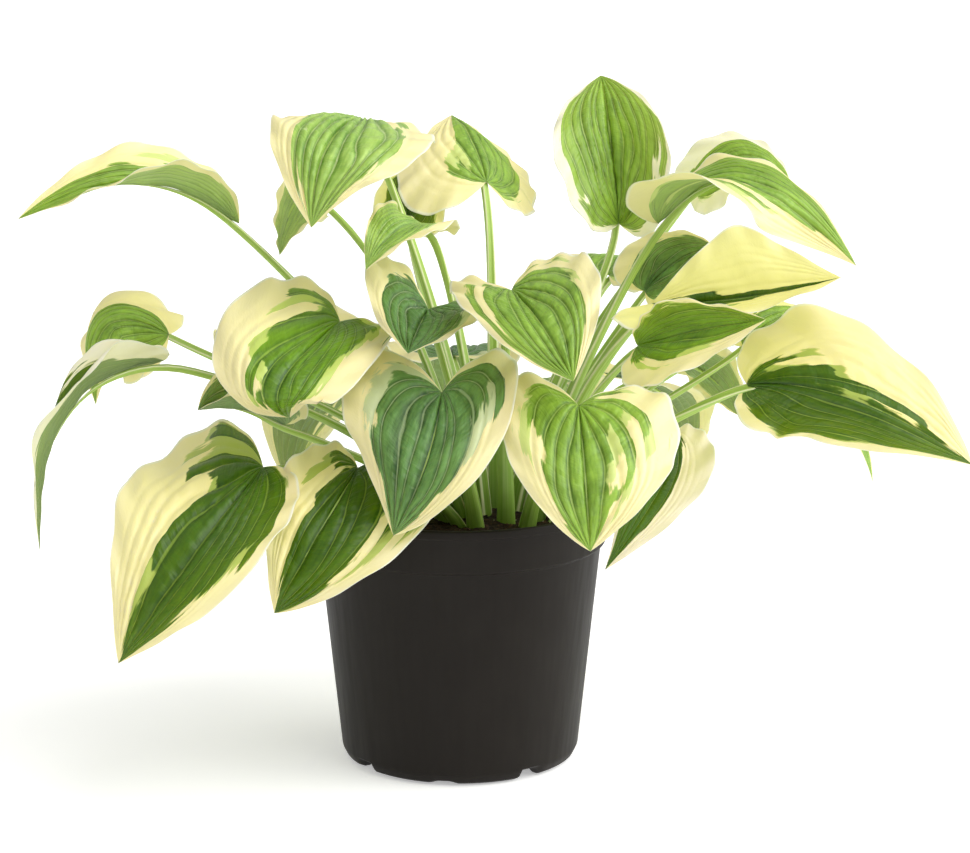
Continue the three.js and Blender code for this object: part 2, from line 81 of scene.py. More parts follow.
# Shape of a vein, as in the solids: where its two handles lie along the midrib, how far the second one moves
# back with the vein, how far out they lie, what makes the widest place about as wide as the half, and how
# much narrower the tip is drawn.
NEAR_HANDLE = 0.33
FAR_HANDLE = 0.67
FAR_SHIFT = 0.09
LOBE_WIDTH = 0.62
TIP_WIDTH = 0.9
WIDEST = 2
DRAWN_TIP = 0.4

# Pot, from the foot up.
FOOT_RADIUS = 75.5
FOOT_ROUND = 7
COLLAR_RADIUS = 93.5
COLLAR_HEIGHT = 27
COLLAR_STEP = 3
LIP_HEIGHT = 5
WALL = 2.2
FLOOR_HEIGHT = 9
MIDDLE_FOOT_RADIUS = 30
MIDDLE_FOOT_SLOPE = 4
NOTCH_START = 217
NOTCH_COUNT = 8
DEEP_NOTCH = (15, 6)
SHALLOW_NOTCH = (14, 1.5)
DRAIN_RADIUS = 5
DRAIN_CIRCLE = 46
DRAIN_SIDES = 32

# Strips that a half blade's green is cut into, from the midrib to the margin, each with its own end.
FINGERS = 9

# The camera's place in metres, how far it looks down in degrees, and its lens in millimetres, found from the
# pot's ellipses and the plant's outline in the photograph.
CAMERA_PLACE = (0.016, -1.9563, 0.6288)
CAMERA_ELEVATION = 12
CAMERA_LENS = 117.8

# Degrees of sky that each of the two broad lights takes up.
LAMP_SPREAD = 60

# Each leaf. name is the solid that it replaces. base, mid and tip are points of the midrib, root is where the
# stem leaves the soil (distance from the crown and degrees round it) and face is the way the upper side looks
# at the base and at the tip.
# left and right are the halves seen from above: width, rise at the base and at the tip in degrees, bend out
# to the margin, and reach back behind the base. wave is height, number and start of the margin's waves.
# green says how far out from the midrib the left and the right half are green, at the base and at the tip.
# tone and cream name colours below, ribs is how strongly the veins are pressed in, draw chooses the pattern,
# and stem scales the stem's thickness.
LEAVES = [
    dict(name="leaf_front_left", root=(36, 246), base=(-10, -90, 253), mid=(-19, -130, 219),
         tip=(-38, -140, 177), face=((-0.1, -0.7, 0.7), (-0.3, -0.9, 0.4)), left=(43, 14, 5, -25, 1.1),
         right=(57, 16, 5, -30, 1.1), wave=(3, 2, 0.5), green=((0.97, 0.54), (0.88, 0.62)), tone="blue",
         ribs=1.1, draw=9),
    dict(name="leaf_front_right", root=(36, 298), base=(72, -100, 247), mid=(75, -141, 211),
         tip=(78, -146, 169), face=((0, -0.7, 0.7), (0.1, -0.95, 0.3)), left=(56, 10, 5, -32, 0.6),
         right=(46, 12, 5, -25, 0.95), wave=(3, 2, 2), green=((0.98, 0.34), (0.95, 0.56)), tone="fresh",
         ribs=1.2, draw=3),
    dict(name="leaf_left_round", root=(24, 206), base=(-73, -38, 287), mid=(-104, -112, 264),
         tip=(-101, -92, 238), face=((0.1, -0.55, 0.8), (-0.2, -0.95, -0.1)), left=(36, 14, 0, -20, 0.5),
         right=(55, 10, 0, -20, 0.85), wave=(3, 2, 1), green=((1, 0.5), (0.95, 0.2)), tone="full", ribs=0.8,
         draw=2),
    dict(name="leaf_low_left_outer", root=(36, 212), base=(-118, -85, 206), mid=(-156, -150, 166),
         tip=(-199, -165, 106), face=((-0.3, -0.8, 0.5), (-0.35, -0.85, 0.4)), left=(37, 5, 5, -10, 0.1),
         right=(74, 5, 5, -20, 0.95), wave=(4, 2, 0), green=((1, 0.62), (1.05, 0.2)), tone="deep", ribs=0.9,
         draw=9),
    dict(name="leaf_low_left_inner", root=(36, 228), base=(-61, -82, 205), mid=(-85, -128, 172),
         tip=(-109, -138, 129), face=((-0.15, -0.8, 0.6), (-0.2, -0.9, 0.4)), left=(54, 5, 5, -10, 0.85),
         right=(37, 5, 5, -10, 0.6), wave=(3, 2, 1.5), green=((0.98, 0.62), (0.95, 0.26)), tone="deep",
         ribs=0.9, draw=3),
    dict(name="leaf_left_small", root=(36, 196), base=(-106, -60, 227), mid=(-132, -72, 240),
         tip=(-157, -85, 241), face=((0, -0.1, 1), (0, -0.2, 1)), left=(24, 50, 40, 20, 0.4),
         right=(36, 50, 40, 0, 0.4), wave=(2, 2, 0), green=((0.8, 0.8), (0.8, 0.8)), tone="blue", ribs=0.7,
         draw=6),
    dict(name="leaf_left_arched", root=(24, 183), base=(-183, 10, 270), mid=(-222, 5, 276),
         tip=(-227, -15, 230), face=((0, -0.4, 0.9), (-0.8, -0.4, 0.2)), stem=0.85,
         left=(38, -35, -20, -10, 0.25), right=(30, 10, 0, -30, 0.25), wave=(4, 2.5, 0),
         green=((0.8, 0.5), (0.6, 0.4)), tone="fresh", ribs=0.8, draw=7),
    dict(name="leaf_left_drooping", root=(36, 179), base=(-181, -40, 263), mid=(-241, -55, 232),
         tip=(-258, -60, 146), face=((0, -0.1, 1), (-1, -0.2, 0.2)), left=(18, 60, 30, 0, 0.15),
         right=(16, 60, 20, 0, 0.15), wave=(5, 2.5, 1), green=((0.6, 0.74), (0.72, 0.8)), tone="deep",
         cream="pale", ribs=0.7, draw=8),
    dict(name="leaf_far_left", root=(24, 161), base=(-140, 40, 336), mid=(-200, 15, 366),
         tip=(-273, -10, 346), face=((0, -0.1, 1), (0, -0.5, 0.8)), left=(31, 58, 12, 10, -0.2),
         right=(26, 64, 26, -20, -0.1), wave=(2, 2, 0), green=((0.92, 0.84), (1.05, 0.45)), tone="fresh",
         ribs=0.8, draw=9),
    dict(name="leaf_top_left", root=(12, 170), base=(-58, 20, 404), mid=(-78, -62, 399),
         tip=(-88, -72, 350), face=((0.1, -0.3, 0.95), (0.1, -0.95, 0.2)), left=(50, 10, 5, -20, 0.3),
         right=(42, 5, 0, -30, 0.5), wave=(3, 2, 0), green=((0.76, 0.72), (0.8, 0.4)), tone="light",
         ribs=1.8, draw=10),
    dict(name="leaf_top_left_behind", root=(24, 140), base=(-98, 52, 356), mid=(-108, 46, 340),
         tip=(-114, 32, 317), face=((0.5, 0.7, 0.4), (0.6, 0.7, 0.2)), stem=0.8, left=(18, 10, 10, 10, 0.4),
         right=(20, 10, 10, 10, 0.4), wave=(2, 2, 0), green=((0.9, 0.85), (0.85, 0.8)), tone="fresh",
         ribs=0.6, draw=11),
    dict(name="leaf_upper_small", root=(12, 222), base=(-16, -2, 338), mid=(-36, -38, 345),
         tip=(-56, -64, 323), face=((0, -0.3, 0.9), (-0.3, -0.9, 0.3)), left=(22, 15, 10, 0, 0.25),
         right=(22, 15, 10, 0, 0.25), wave=(2, 2.5, 0), green=((0.8, 0.66), (0.95, 0.92)), tone="light",
         ribs=0.9, draw=12),
    dict(name="leaf_upper_small_behind", root=(24, 120), base=(-34, 66, 332), mid=(-24, 78, 360),
         tip=(-2, 92, 352), face=((0, -0.3, 0.9), (0.3, -0.4, 0.8)), stem=0.85, left=(22, 10, 0, -20, 0.5),
         right=(22, 10, 0, -20, 0.5), wave=(2, 2, 0), green=((0.85, 0.75), (0.85, 0.75)), tone="deep",
         cream="lemon", ribs=0.8, draw=13),
    dict(name="leaf_upper_dark", root=(24, 234), base=(-19, -30, 293), mid=(-24, -62, 288),
         tip=(-30, -92, 277), face=((0, -0.2, 1), (0, -0.6, 0.8)), left=(36, 15, 10, -10, 0.7),
         right=(45, 50, 15, -20, 1.3), wave=(2, 2, 0), green=((0.95, 0.7), (0.8, 0.7)), tone="blue",
         ribs=1.2, draw=6),
    dict(name="leaf_centre", root=(24, 280), base=(32, -60, 310), mid=(50, -102, 296), tip=(68, -122, 266),
         face=((0.1, -0.55, 0.85), (0.2, -0.8, 0.55)), left=(48, 22, 5, -15, 0.95),
         right=(36, 22, -5, -30, 0.8), wave=(2, 2, 0), green=((0.92, 0.64), (0.62, 0.86)), tone="fresh",
         ribs=1.1, draw=8),
    dict(name="leaf_top_centre", root=(12, 105), base=(17, 60, 360), mid=(8, 84, 384), tip=(-6, 120, 396),
         face=((0, -0.5, 0.8), (0, -0.4, 0.9)), left=(54, 20, 0, -40, 0.8), right=(42, -35, -35, -10, 0.8),
         wave=(2, 2, 0), green=((0.56, 0.26), (0.85, 0.6)), tone="fresh", ribs=0.8, draw=16),
    dict(name="leaf_tall", root=(12, 45), base=(103, 88, 329), mid=(97, 104, 388), tip=(92, 130, 421),
         face=((0, -0.9, 0.3), (0, -0.95, 0.2)), left=(42, 55, 0, -10, 0.25), right=(38, 50, 0, -10, 0.4),
         wave=(3, 2, 0), green=((0.9, 0.88), (0.9, 0.86)), tone="fresh", cream="pale", ribs=1.3, draw=17),
    dict(name="leaf_arching_right", root=(24, 31), base=(126, 40, 336), mid=(182, 28, 366),
         tip=(250, 20, 312), face=((0, -0.1, 1), (0.3, -0.6, 0.7)), stem=1.15, left=(29, 20, 0, -20, 0),
         right=(48, 60, -45, 0, 0.12), wave=(2, 2, 0), green=((0.72, 0.8), (0.95, 0.2)), tone="fresh",
         ribs=0.8, draw=18),
    dict(name="leaf_level_right", root=(24, 345), base=(119, -20, 295), mid=(178, -25, 300),
         tip=(235, -30, 313), face=((0, -0.1, 1), (0, -0.1, 1)), stem=1.4, left=(40, 70, 55, 10, -0.35),
         right=(26, -15, -5, 0, 0.7), wave=(2, 2, 0), green=((0.2, 0.12), (0.42, 0.1)), tone="deep",
         cream="lemon", ribs=0.6, draw=19),
    dict(name="leaf_dark_right", root=(24, 317), base=(109, -55, 275), mid=(143, -73, 287),
         tip=(184, -88, 297), face=((0, -0.75, 0.65), (0, -0.7, 0.7)), left=(23, 4, 5, 0, 0.25),
         right=(32, 7, 5, 0, 0.45), wave=(2, 2, 0), green=((0.99, 0.9), (0.86, 0.44)), tone="full", ribs=1,
         draw=2),
    dict(name="leaf_far_right", root=(36, 337), base=(177, -40, 248), mid=(240, -72, 245),
         tip=(311, -85, 207), face=((0, -0.6, 0.8), (0.1, -0.7, 0.7)), left=(62, 10, 5, -20, 0.45),
         right=(34, -66, -5, -20, 0.4), wave=(5, 2, 0.5), green=((0.52, 0.08), (0.9, 0.8)), tone="deep",
         ribs=0.8, draw=21),
    dict(name="leaf_far_right_behind", root=(24, 9), base=(179, 12, 262), mid=(199, 22, 277),
         tip=(222, 38, 280), face=((0, -0.6, 0.8), (0, -0.6, 0.8)), stem=0.8, left=(22, 20, 10, 0, 0.4),
         right=(22, 20, 10, 0, 0.4), wave=(2, 2, 0), green=((0.5, 0.4), (0.6, 0.6)), tone="fresh",
         cream="lemon", ribs=0.7, draw=22),
    dict(name="leaf_hanging_right", root=(36, 356), base=(136, 12, 207), mid=(127, -14, 178),
         tip=(91, -32, 128), face=((0.3, -0.6, 0.7), (0.3, -0.9, 0)), left=(24, 10, 5, 0, 0.3),
         right=(28, 10, 5, 0, 0.3), wave=(3, 2, 0), green=((0.52, 0.26), (0.92, 0.82)), tone="deep",
         cream="peach", ribs=0.8, draw=23),
    dict(name="leaf_right_under", root=(36, 20), base=(137, 32, 252), mid=(161, 34, 238),
         tip=(180, 28, 213), face=((0, 0.5, 0.8), (0.3, 0.8, 0.3)), stem=0.85, left=(22, 10, 5, 0, 0.2),
         right=(26, 10, 5, 0, 0.5), wave=(2, 2, 0), green=((0.8, 0.7), (0.8, 0.7)), tone="blue", ribs=0.8,
         draw=24),
    dict(name="leaf_right_lower_tip", root=(36, 36), base=(192, 84, 258), mid=(240, 62, 226),
         tip=(265, 30, 170), face=((0, -0.2, 1), (0.8, -0.3, 0.3)), stem=0.85, left=(26, 10, 5, 0, 0.5),
         right=(26, 10, 5, 0, 0.5), wave=(2, 2, 0), green=((0.75, 0.65), (0.75, 0.65)), tone="fresh",
         ribs=0.7, draw=25),
    dict(name="leaf_right_inner", root=(24, 54), base=(118, 44, 292), mid=(140, 46, 312),
         tip=(162, 42, 320), face=((0, -0.7, 0.7), (0, -0.7, 0.7)), stem=0.85, left=(26, 10, 5, 0, 0.5),
         right=(24, 10, 5, 0, 0.5), wave=(2, 2, 0), green=((0.85, 0.7), (0.8, 0.7)), tone="blue", ribs=1,
         draw=26),
    dict(name="leaf_right_back_top", root=(24, 76), base=(151, 96, 350), mid=(184, 97, 373),
         tip=(214, 90, 356), face=((0, -0.4, 0.9), (0.2, -0.4, 0.8)), stem=0.85, left=(22, 10, 5, 0, 0.3),
         right=(26, 10, 5, -20, 0.5), wave=(2, 2, 0), green=((0.74, 0.62), (0.8, 0.7)), tone="fresh",
         cream="pale", ribs=0.8, draw=27),
    dict(name="leaf_back_right_low", root=(36, 54), base=(112, 105, 222), mid=(142, 150, 200),
         tip=(158, 178, 150), face=((0.2, 0.2, 1), (0.7, 0.6, 0.4)), left=(40, 10, 5, -10, 0.65),
         right=(40, 10, 5, -10, 0.65), wave=(3, 2, 0), green=((0.84, 0.6), (0.74, 0.46)), tone="deep",
         ribs=0.8, draw=28),
    dict(name="leaf_back_low", root=(36, 96), base=(42, 130, 215), mid=(50, 190, 190), tip=(52, 215, 130),
         face=((0, 0.3, 1), (0, 0.9, 0.4)), left=(48, 10, 5, -10, 0.65), right=(50, 10, 5, -10, 0.65),
         wave=(3, 2, 1), green=((0.76, 0.5), (0.88, 0.66)), tone="fresh", ribs=0.9, draw=29),
    dict(name="leaf_back_left_low", root=(36, 126), base=(-62, 105, 220), mid=(-100, 150, 195),
         tip=(-120, 175, 135), face=((-0.1, 0.3, 1), (-0.5, 0.8, 0.4)), left=(46, 10, 5, -10, 0.65),
         right=(48, 10, 5, -10, 0.65), wave=(3, 2, 2), green=((0.88, 0.66), (0.7, 0.4)), tone="deep",
         ribs=0.8, draw=30),
    dict(name="leaf_back_left_mid", root=(36, 150), base=(-95, 62, 255), mid=(-132, 100, 262),
         tip=(-160, 135, 225), face=((-0.1, 0, 1), (-0.4, 0.5, 0.8)), left=(40, 10, 5, -10, 0.65),
         right=(42, 10, 5, -10, 0.65), wave=(3, 2, 0), green=((0.7, 0.44), (0.86, 0.62)), tone="fresh",
         ribs=0.9, draw=31),
    dict(name="leaf_back_mid", root=(24, 100), base=(-5, 118, 236), mid=(-10, 165, 228),
         tip=(-12, 200, 185), face=((0, 0.2, 1), (0, 0.8, 0.5)), stem=0.85, left=(44, 10, 5, -10, 0.65),
         right=(44, 10, 5, -10, 0.65), wave=(3, 2, 1), green=((0.86, 0.6), (0.78, 0.56)), tone="blue",
         ribs=0.8, draw=32),
    dict(name="leaf_back_right_mid", root=(36, 72), base=(98, 120, 290), mid=(130, 165, 288),
         tip=(150, 195, 240), face=((0.1, 0.1, 1), (0.4, 0.7, 0.5)), left=(42, 10, 5, -10, 0.65),
         right=(42, 10, 5, -10, 0.65), wave=(3, 2, 2), green=((0.78, 0.48), (0.86, 0.64)), tone="fresh",
         ribs=0.9, draw=33),
]

# Colours of the leaf's green tissue by tone: the shaded and the lit green, between which painted shade in the
# vein grooves, painted light on the swells and a random mottle blend, and the half-green of the finger tips.
GREENS = {
    "deep": ("#1C3C02", "#416906", "#8CA844"),
    "fresh": ("#3C6214", "#92B747", "#B9D077"),
    "blue": ("#1B4212", "#6A9550", "#B2C596"),
    "light": ("#4E7C22", "#A3C463", "#D0E0A4"),
    "full": ("#2C540A", "#6E981E", "#A6C455"),
}

# Colours of the tissue without green, by name.
CREAMS = {"butter": "#FAE8A4", "lemon": "#F9EF96", "pale": "#FCF4C8", "peach": "#F4E4B8"}


def linear(code):
    """sRGB hex to linear RGBA."""
    values = [int(code[i:i + 2], 16) / 255 for i in (1, 3, 5)]
    return tuple(v / 12.92 if v <= 0.04045 else ((v + 0.055) / 1.055) ** 2.4 for v in values) + (1.0,)


# Settings


class HostaPotSettings(bpy.types.PropertyGroup):
    """Size and plastic of the pot."""

    height: FloatProperty(
        name="Height", description="Height of the pot",
        default=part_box("pot")[1][2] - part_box("pot")[0][2], unit="LENGTH")
    lip_radius: FloatProperty(
        name="Lip radius", description="Outer radius of the lip", default=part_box("pot")[1][0], unit="LENGTH")
    sides: IntProperty(name="Sides", description="Faces round the pot", default=360, min=36)
    plastic: FloatVectorProperty(
        name="Plastic", description="Colour of the moulded plastic", subtype="COLOR", size=4,
        default=linear("#1A1612"))


class HostaSoilSettings(bpy.types.PropertyGroup):
    """Size and grain of the potting mix."""

    lump_height: FloatProperty(
        name="Lump height", description="Height of the surface's lumps", default=2.2 * MM, unit="LENGTH")
    chips: IntProperty(name="Chips", description="Loose bits of bark on the soil", default=700, min=0)
    grit: IntProperty(name="Grit", description="Loose grains of grit on the soil", default=36, min=0)
    earth: FloatVectorProperty(
        name="Earth", description="Colour of the damp potting mix", subtype="COLOR", size=4,
        default=linear("#1B1410"))
    seed: IntProperty(name="Seed", description="Start of the random draws", default=11)


class HostaLeafSettings(bpy.types.PropertyGroup):
    """Fineness and relief of the leaves."""

    thickness: FloatProperty(
        name="Thickness", description="Thickness of a blade at its midrib", default=0.9 * MM, unit="LENGTH")
    rib_height: FloatProperty(
        name="Rib height", description="How far the blade swells between its veins", default=1.9 * MM,
        unit="LENGTH")
    buckles: FloatProperty(
        name="Buckles", description="Height of a blade's uneven bumps and ruffles", default=0.9 * MM,
        unit="LENGTH")
    vein_pairs: IntProperty(name="Vein pairs", description="Pairs of side veins", default=6, min=2)
    rows: IntProperty(name="Rows", description="Steps across a half blade", default=46, min=8)
    columns: IntProperty(name="Columns", description="Steps along a blade", default=58, min=8)
    stem: FloatVectorProperty(
        name="Stem", description="Colour of the leaf stems", subtype="COLOR", size=4,
        default=linear("#8DB23A"))
    seed: IntProperty(name="Seed", description="Start of the random draws", default=5)


class HostaStageSettings(bpy.types.PropertyGroup):
    """Light, floor and camera."""

    sky: FloatProperty(name="Sky", description="Strength of the even light", default=0.5, min=0)
    key: FloatProperty(
        name="Key light", description="Strength of the broad light from above", default=1.8, min=0)
    side: FloatProperty(
        name="Side light", description="Strength of the broad light from the right", default=2.0, min=0)
    glow: FloatProperty(
        name="Floor glow", description="Light of the floor itself, as on a light table", default=0.4, min=0)
    floor: FloatVectorProperty(
        name="Floor", description="Colour of the floor", subtype="COLOR", size=4, default=linear("#F7F7F5"))


# Meshes


def make_object(name, points, faces, material, smooth=True):
    """A mesh object at the origin from points in millimetres and lists of faces, riding on the part."""
    mesh = bpy.data.meshes.new(name)
    mesh.from_pydata((points * MM).tolist(), [], faces)
    mesh.polygons.foreach_set("use_smooth", np.full(len(mesh.polygons), smooth))
    mesh.update()
    mesh.materials.append(material)
    piece = bpy.data.objects.new(name, mesh)
    bpy.context.scene.collection.objects.link(piece)
    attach(piece, ROOT)
    return piece


def unit(vectors):
    """Vectors of length one."""
    return vectors / np.maximum(np.linalg.norm(vectors, axis=-1, keepdims=True), 1e-12)


def curve(share, *control):
    """A Bezier curve: neighbouring control points are blended by the share until one point is left."""
    while len(control) > 1:
        control = [(1 - share) * here + share * there for here, there in zip(control, control[1:])]
    return control[0]


def ease(value, low, high):
    """0 below low, 1 above high, and a smooth S between."""
    share = np.clip((value - low) / (high - low), 0, 1)
    return share * share * (3 - 2 * share)


def lumps(x, y, size, seed):
    """Smooth random heights from -1 to 1: a lattice of random values, blended with the same S both ways."""
    table = np.random.default_rng(seed).uniform(-1, 1, (64, 64))
    x, y = x / size + 31.7, y / size + 17.3
    column, row = np.floor(x).astype(int), np.floor(y).astype(int)
    right, up = ease(x - column, 0, 1), ease(y - row, 0, 1)
    low, high = (table[column % 64, line % 64] * (1 - right) + table[(column + 1) % 64, line % 64] * right
                 for line in (row, row + 1))
    return low * (1 - up) + high * up


def circle(radius, height, angle):
    """Points round the Z axis at the angles; radius and height may hold one value a ring or one a point."""
    return np.stack(np.broadcast_arrays(radius * np.cos(angle), radius * np.sin(angle), height), -1)


def quads(rows, columns, closed=False):
    """Faces of a grid of points, row after row; closed joins the last column to the first."""
    row, column = np.indices((rows - 1, columns if closed else columns - 1))
    here, after = row * columns + column, row * columns + (column + 1) % columns
    return np.stack([here, after, after + columns, here + columns], -1).reshape(-1, 4)


def capped(rings, start, end, first=0):
    """Points and faces of rings of points, closed by a fan to a start point and one to an end point.

    first is how many points stand before them in the mesh.
    """
    count, sides = rings.shape[:2]
    points = np.concatenate([rings.reshape(-1, 3), [start], [end]])
    ring = np.arange(sides)
    after = (ring + 1) % sides
    last = (count - 1) * sides
    faces = (quads(count, sides, closed=True) + first).tolist()
    faces += (np.stack([np.full(sides, count * sides), after, ring], -1) + first).tolist()
    faces += (np.stack([np.full(sides, count * sides + 1), last + ring, last + after], -1) + first).tolist()
    return points, faces


def rounded(corners, steps=4):
    """A polyline whose corners (x, y, fillet) are replaced by parabolas that start a fillet's length away."""
    points = [corners[0][:2]]
    for before, (x, y, fillet), after in zip(corners, corners[1:-1], corners[2:]):
        corner = np.array((x, y), float)
        if fillet:
            start, end = (corner + unit(np.array(near[:2]) - corner) * fillet for near in (before, after))
            points.extend(curve(np.linspace(0, 1, steps + 1)[:, None], start, corner, end))
        else:
            points.append(corner)
    return np.array([*points, corners[-1][:2]], float)


# Shape of the blades


def midrib(leaf, share):
    """The parabola through base, mid and tip; behind the base it runs straight on.

    Returns points and the unit tangents there. The middle control point is twice mid less half of both ends.
    """
    base, mid, tip = (np.array(leaf[key], float) for key in ("base", "mid", "tip"))
    bend = 2 * mid - (base + tip) / 2
    along = np.clip(share, 0, 1)[..., None]
    path = curve(np.linspace(0, 1, 201)[:, None], base, bend, tip)
    length = np.linalg.norm(np.diff(path, axis=0), axis=1).sum()
    behind = np.minimum(share, 0)[..., None] * length * unit(bend - base)
    return curve(along, base, bend, tip) + behind, unit(curve(along, bend - base, tip - bend))


def blade_frame(leaf, share):
    """Point, upper side and right-hand side at a share of the midrib."""
    point, tangent = midrib(leaf, share)
    up = curve(np.clip(share, 0, 1)[..., None], *(unit(np.array(way, float)) for way in leaf["face"]))
    up = unit(up - (up * tangent).sum(-1, keepdims=True) * tangent)
    return point, up, np.cross(tangent, up)


def half_values(leaf, vein):
    """The five numbers of the left or the right half, by the sign of vein."""
    return (np.where(vein < 0, left, right) for left, right in zip(leaf["left"], leaf["right"]))


def blade_surface(leaf, vein, share):
    """The blade's middle surface: vein runs from -1 (left margin) to 1 (right margin), share along a vein.

    Veins leave the base as a fan, arc out and meet at the tip: each is a cubic whose handles move back and
    out with the vein. Each half rises from the midrib by an angle and bends on evenly. The margin waves with
    a sine of the share, 1.3 radians ahead on the left, its height growing with the square of the width.
    """
    width, low, high, bend, lobe = half_values(leaf, vein)
    out = np.abs(vein)
    near = 3 * (1 - share) ** 2 * share
    far = 3 * (1 - share) * share ** 2
    near_along = NEAR_HANDLE - (lobe + NEAR_HANDLE) * out ** 1.5
    far_along = FAR_HANDLE - FAR_SHIFT * out ** 2
    along = near * near_along + far * far_along + share ** 3
    across = (near * LOBE_WIDTH + far * TIP_WIDTH) * out * WIDEST * (1 - DRAWN_TIP * share ** 3)
    point, up, side = blade_frame(leaf, along)
    rise = np.radians(low + (high - low) * np.clip(along, 0, 1))
    turn = np.radians(bend)
    turn = np.where(turn == 0, 1e-4, turn)
    angle = rise + turn * across
    sideways = width * (np.sin(angle) - np.sin(rise)) / turn
    upwards = width * (np.cos(rise) - np.cos(angle)) / turn
    height, count, first = leaf["wave"]
    phase = FULL_TURN * count * share + first + np.where(vein < 0, 1.3, 0)
    wave = height * across ** 2 * np.sin(phase) * np.sqrt(np.sin(math.pi * share).clip(0))
    return point + side * (np.sign(vein) * sideways)[..., None] + up * (upwards + wave)[..., None]


def blade_normals(leaf, vein, share):
    """The way the blade's upper side looks, from two short steps on its surface."""
    step = 0.01
    low, high = np.maximum(share - step, step), np.minimum(share + step, 1 - step)
    inner, outer = np.clip(vein - step, -1, 1), np.clip(vein + step, -1, 1)
    middle = np.clip(share, step, 1 - step)
    forward = blade_surface(leaf, vein, high) - blade_surface(leaf, vein, low)
    across = blade_surface(leaf, outer, middle) - blade_surface(leaf, inner, middle)
    return unit(np.cross(across, forward))


def vein_strips(vein, share, settings, random):
    """Place across the half in strips between side veins: 0 on the midrib, a whole number on each vein.

    The veins lie a little closer towards the margin and wander by up to half a strip.
    """
    out = np.abs(vein)
    wander = 0.5 * lumps(vein * 5, share * 4, 1, random.integers(0, 1000)) * ease(out, 0.04, 0.25)
    return (settings.vein_pairs + 1) * (0.8 * out + 0.2 * out ** 2) + wander


def blade_relief(leaf, vein, share, strips, settings, random):
    """How far the blade swells along its normal, in millimetres.

    Between two veins it swells by the square root of a half sine, with quilting that changes along each
    strip. It sinks to a groove on the midrib and lies flat at the margin, the base and the tip. Buckles 19
    and 8 mm across are added, and a ruffle of five to seven waves that grows with the fourth power of the way
    to the margin.
    """
    width = next(half_values(leaf, vein))
    length = np.linalg.norm(np.array(leaf["tip"]) - np.array(leaf["base"]))
    strip = np.floor(strips).astype(int) + np.where(vein < 0, 20, 0)
    between = np.abs(np.sin(math.pi * strips))
    pace = random.uniform(7, 15, 64)[strip]
    shift = random.uniform(0, FULL_TURN, 64)[strip]
    quilt = np.sin(pace * FULL_TURN * share + shift) * between
    flat = ease(1 - np.abs(vein), 0.05, 0.7) * ease(share, 0, 0.12) * ease(1 - share, 0, 0.15)
    rib = settings.rib_height / MM * leaf["ribs"] * width / 45
    groove = 1.1 * np.exp(-(vein / 0.05) ** 2) * (1 - share) * ease(share, 0, 0.05)
    first = random.integers(0, 1000)
    coarse, fine = (lumps(vein * width, share * length, *kind) for kind in ((19, first), (8, first + 1)))
    ruffle = np.sin(FULL_TURN * share * random.uniform(5, 7) + random.uniform(0, 6)) * np.abs(vein) ** 4
    ends = ease(share, 0, 0.15) * ease(1 - share, 0, 0.2)
    return (rib * flat * (np.sqrt(between) - 0.6 + 0.14 * quilt) - groove
            + settings.buckles / MM * ends * (coarse + 0.5 * fine + 1.8 * ruffle))


def blade_mesh(leaf, settings, random):
    """Points, faces, UVs, and the underside and strip marks of a closed blade.

    The upper and the lower layer are grids of the same size, offset from the middle surface by the relief and
    by half the thickness. They are joined along both margins and by triangles round a base and a tip point.
    The UV is the place on the vein grid: across from margin to margin, and along from base to tip.
    """
    rows = np.concatenate([[-1], np.linspace(-0.985, 0.985, 2 * settings.rows + 1), [1]])
    shares = np.arange(1, settings.columns) / settings.columns
    vein, share = np.meshgrid(rows, shares, indexing="ij")
    middle, normal = blade_surface(leaf, vein, share), blade_normals(leaf, vein, share)
    strips = vein_strips(vein, share, settings, random)
    relief = blade_relief(leaf, vein, share, strips, settings, random)
    half = settings.thickness / MM / 2 * (1 - 0.6 * np.abs(vein)) * (1 - 0.4 * share)
    layers = [(middle + normal * off[..., None]).reshape(-1, 3) for off in (relief + half, relief - half)]
    points = np.concatenate([*layers, [leaf["base"]], [leaf["tip"]]])
    count, steps = vein.shape
    size = count * steps
    base, tip = 2 * size, 2 * size + 1
    lower = quads(count, steps) + size
    edge = np.arange(steps - 1)
    last = size - steps + edge
    left_rim = np.stack([edge, edge + 1, edge + 1 + size, edge + size], -1)
    right_rim = np.stack([last + size, last + size + 1, last + 1, last], -1)
    faces = np.concatenate([lower[:, ::-1] - size, lower, left_rim, right_rim]).tolist()
    row = np.arange(count - 1) * steps
    end = row + steps - 1
    for pole, here, after in ((base, row + steps, row), (base, row + size, row + steps + size),
                              (tip, end, end + steps), (tip, end + steps + size, end + size)):
        faces += np.stack([np.full(count - 1, pole), here, after], -1).tolist()
    faces += [[base, 0, size], [base, 2 * size - steps, size - steps],
              [tip, size + steps - 1, steps - 1], [tip, size - 1, 2 * size - 1]]
    place = np.stack([(vein + 1) / 2, share], -1).reshape(-1, 2)
    place = np.concatenate([place, place, [[0.5, 0]], [[0.5, 1]]])
    under = np.concatenate([np.zeros(size), np.ones(size), [0.5, 0.5]])
    strips = np.concatenate([strips.ravel(), strips.ravel(), [0, 0]])
    return points, faces, place, {"underside": under, "strips": strips}


# Shape of the stems


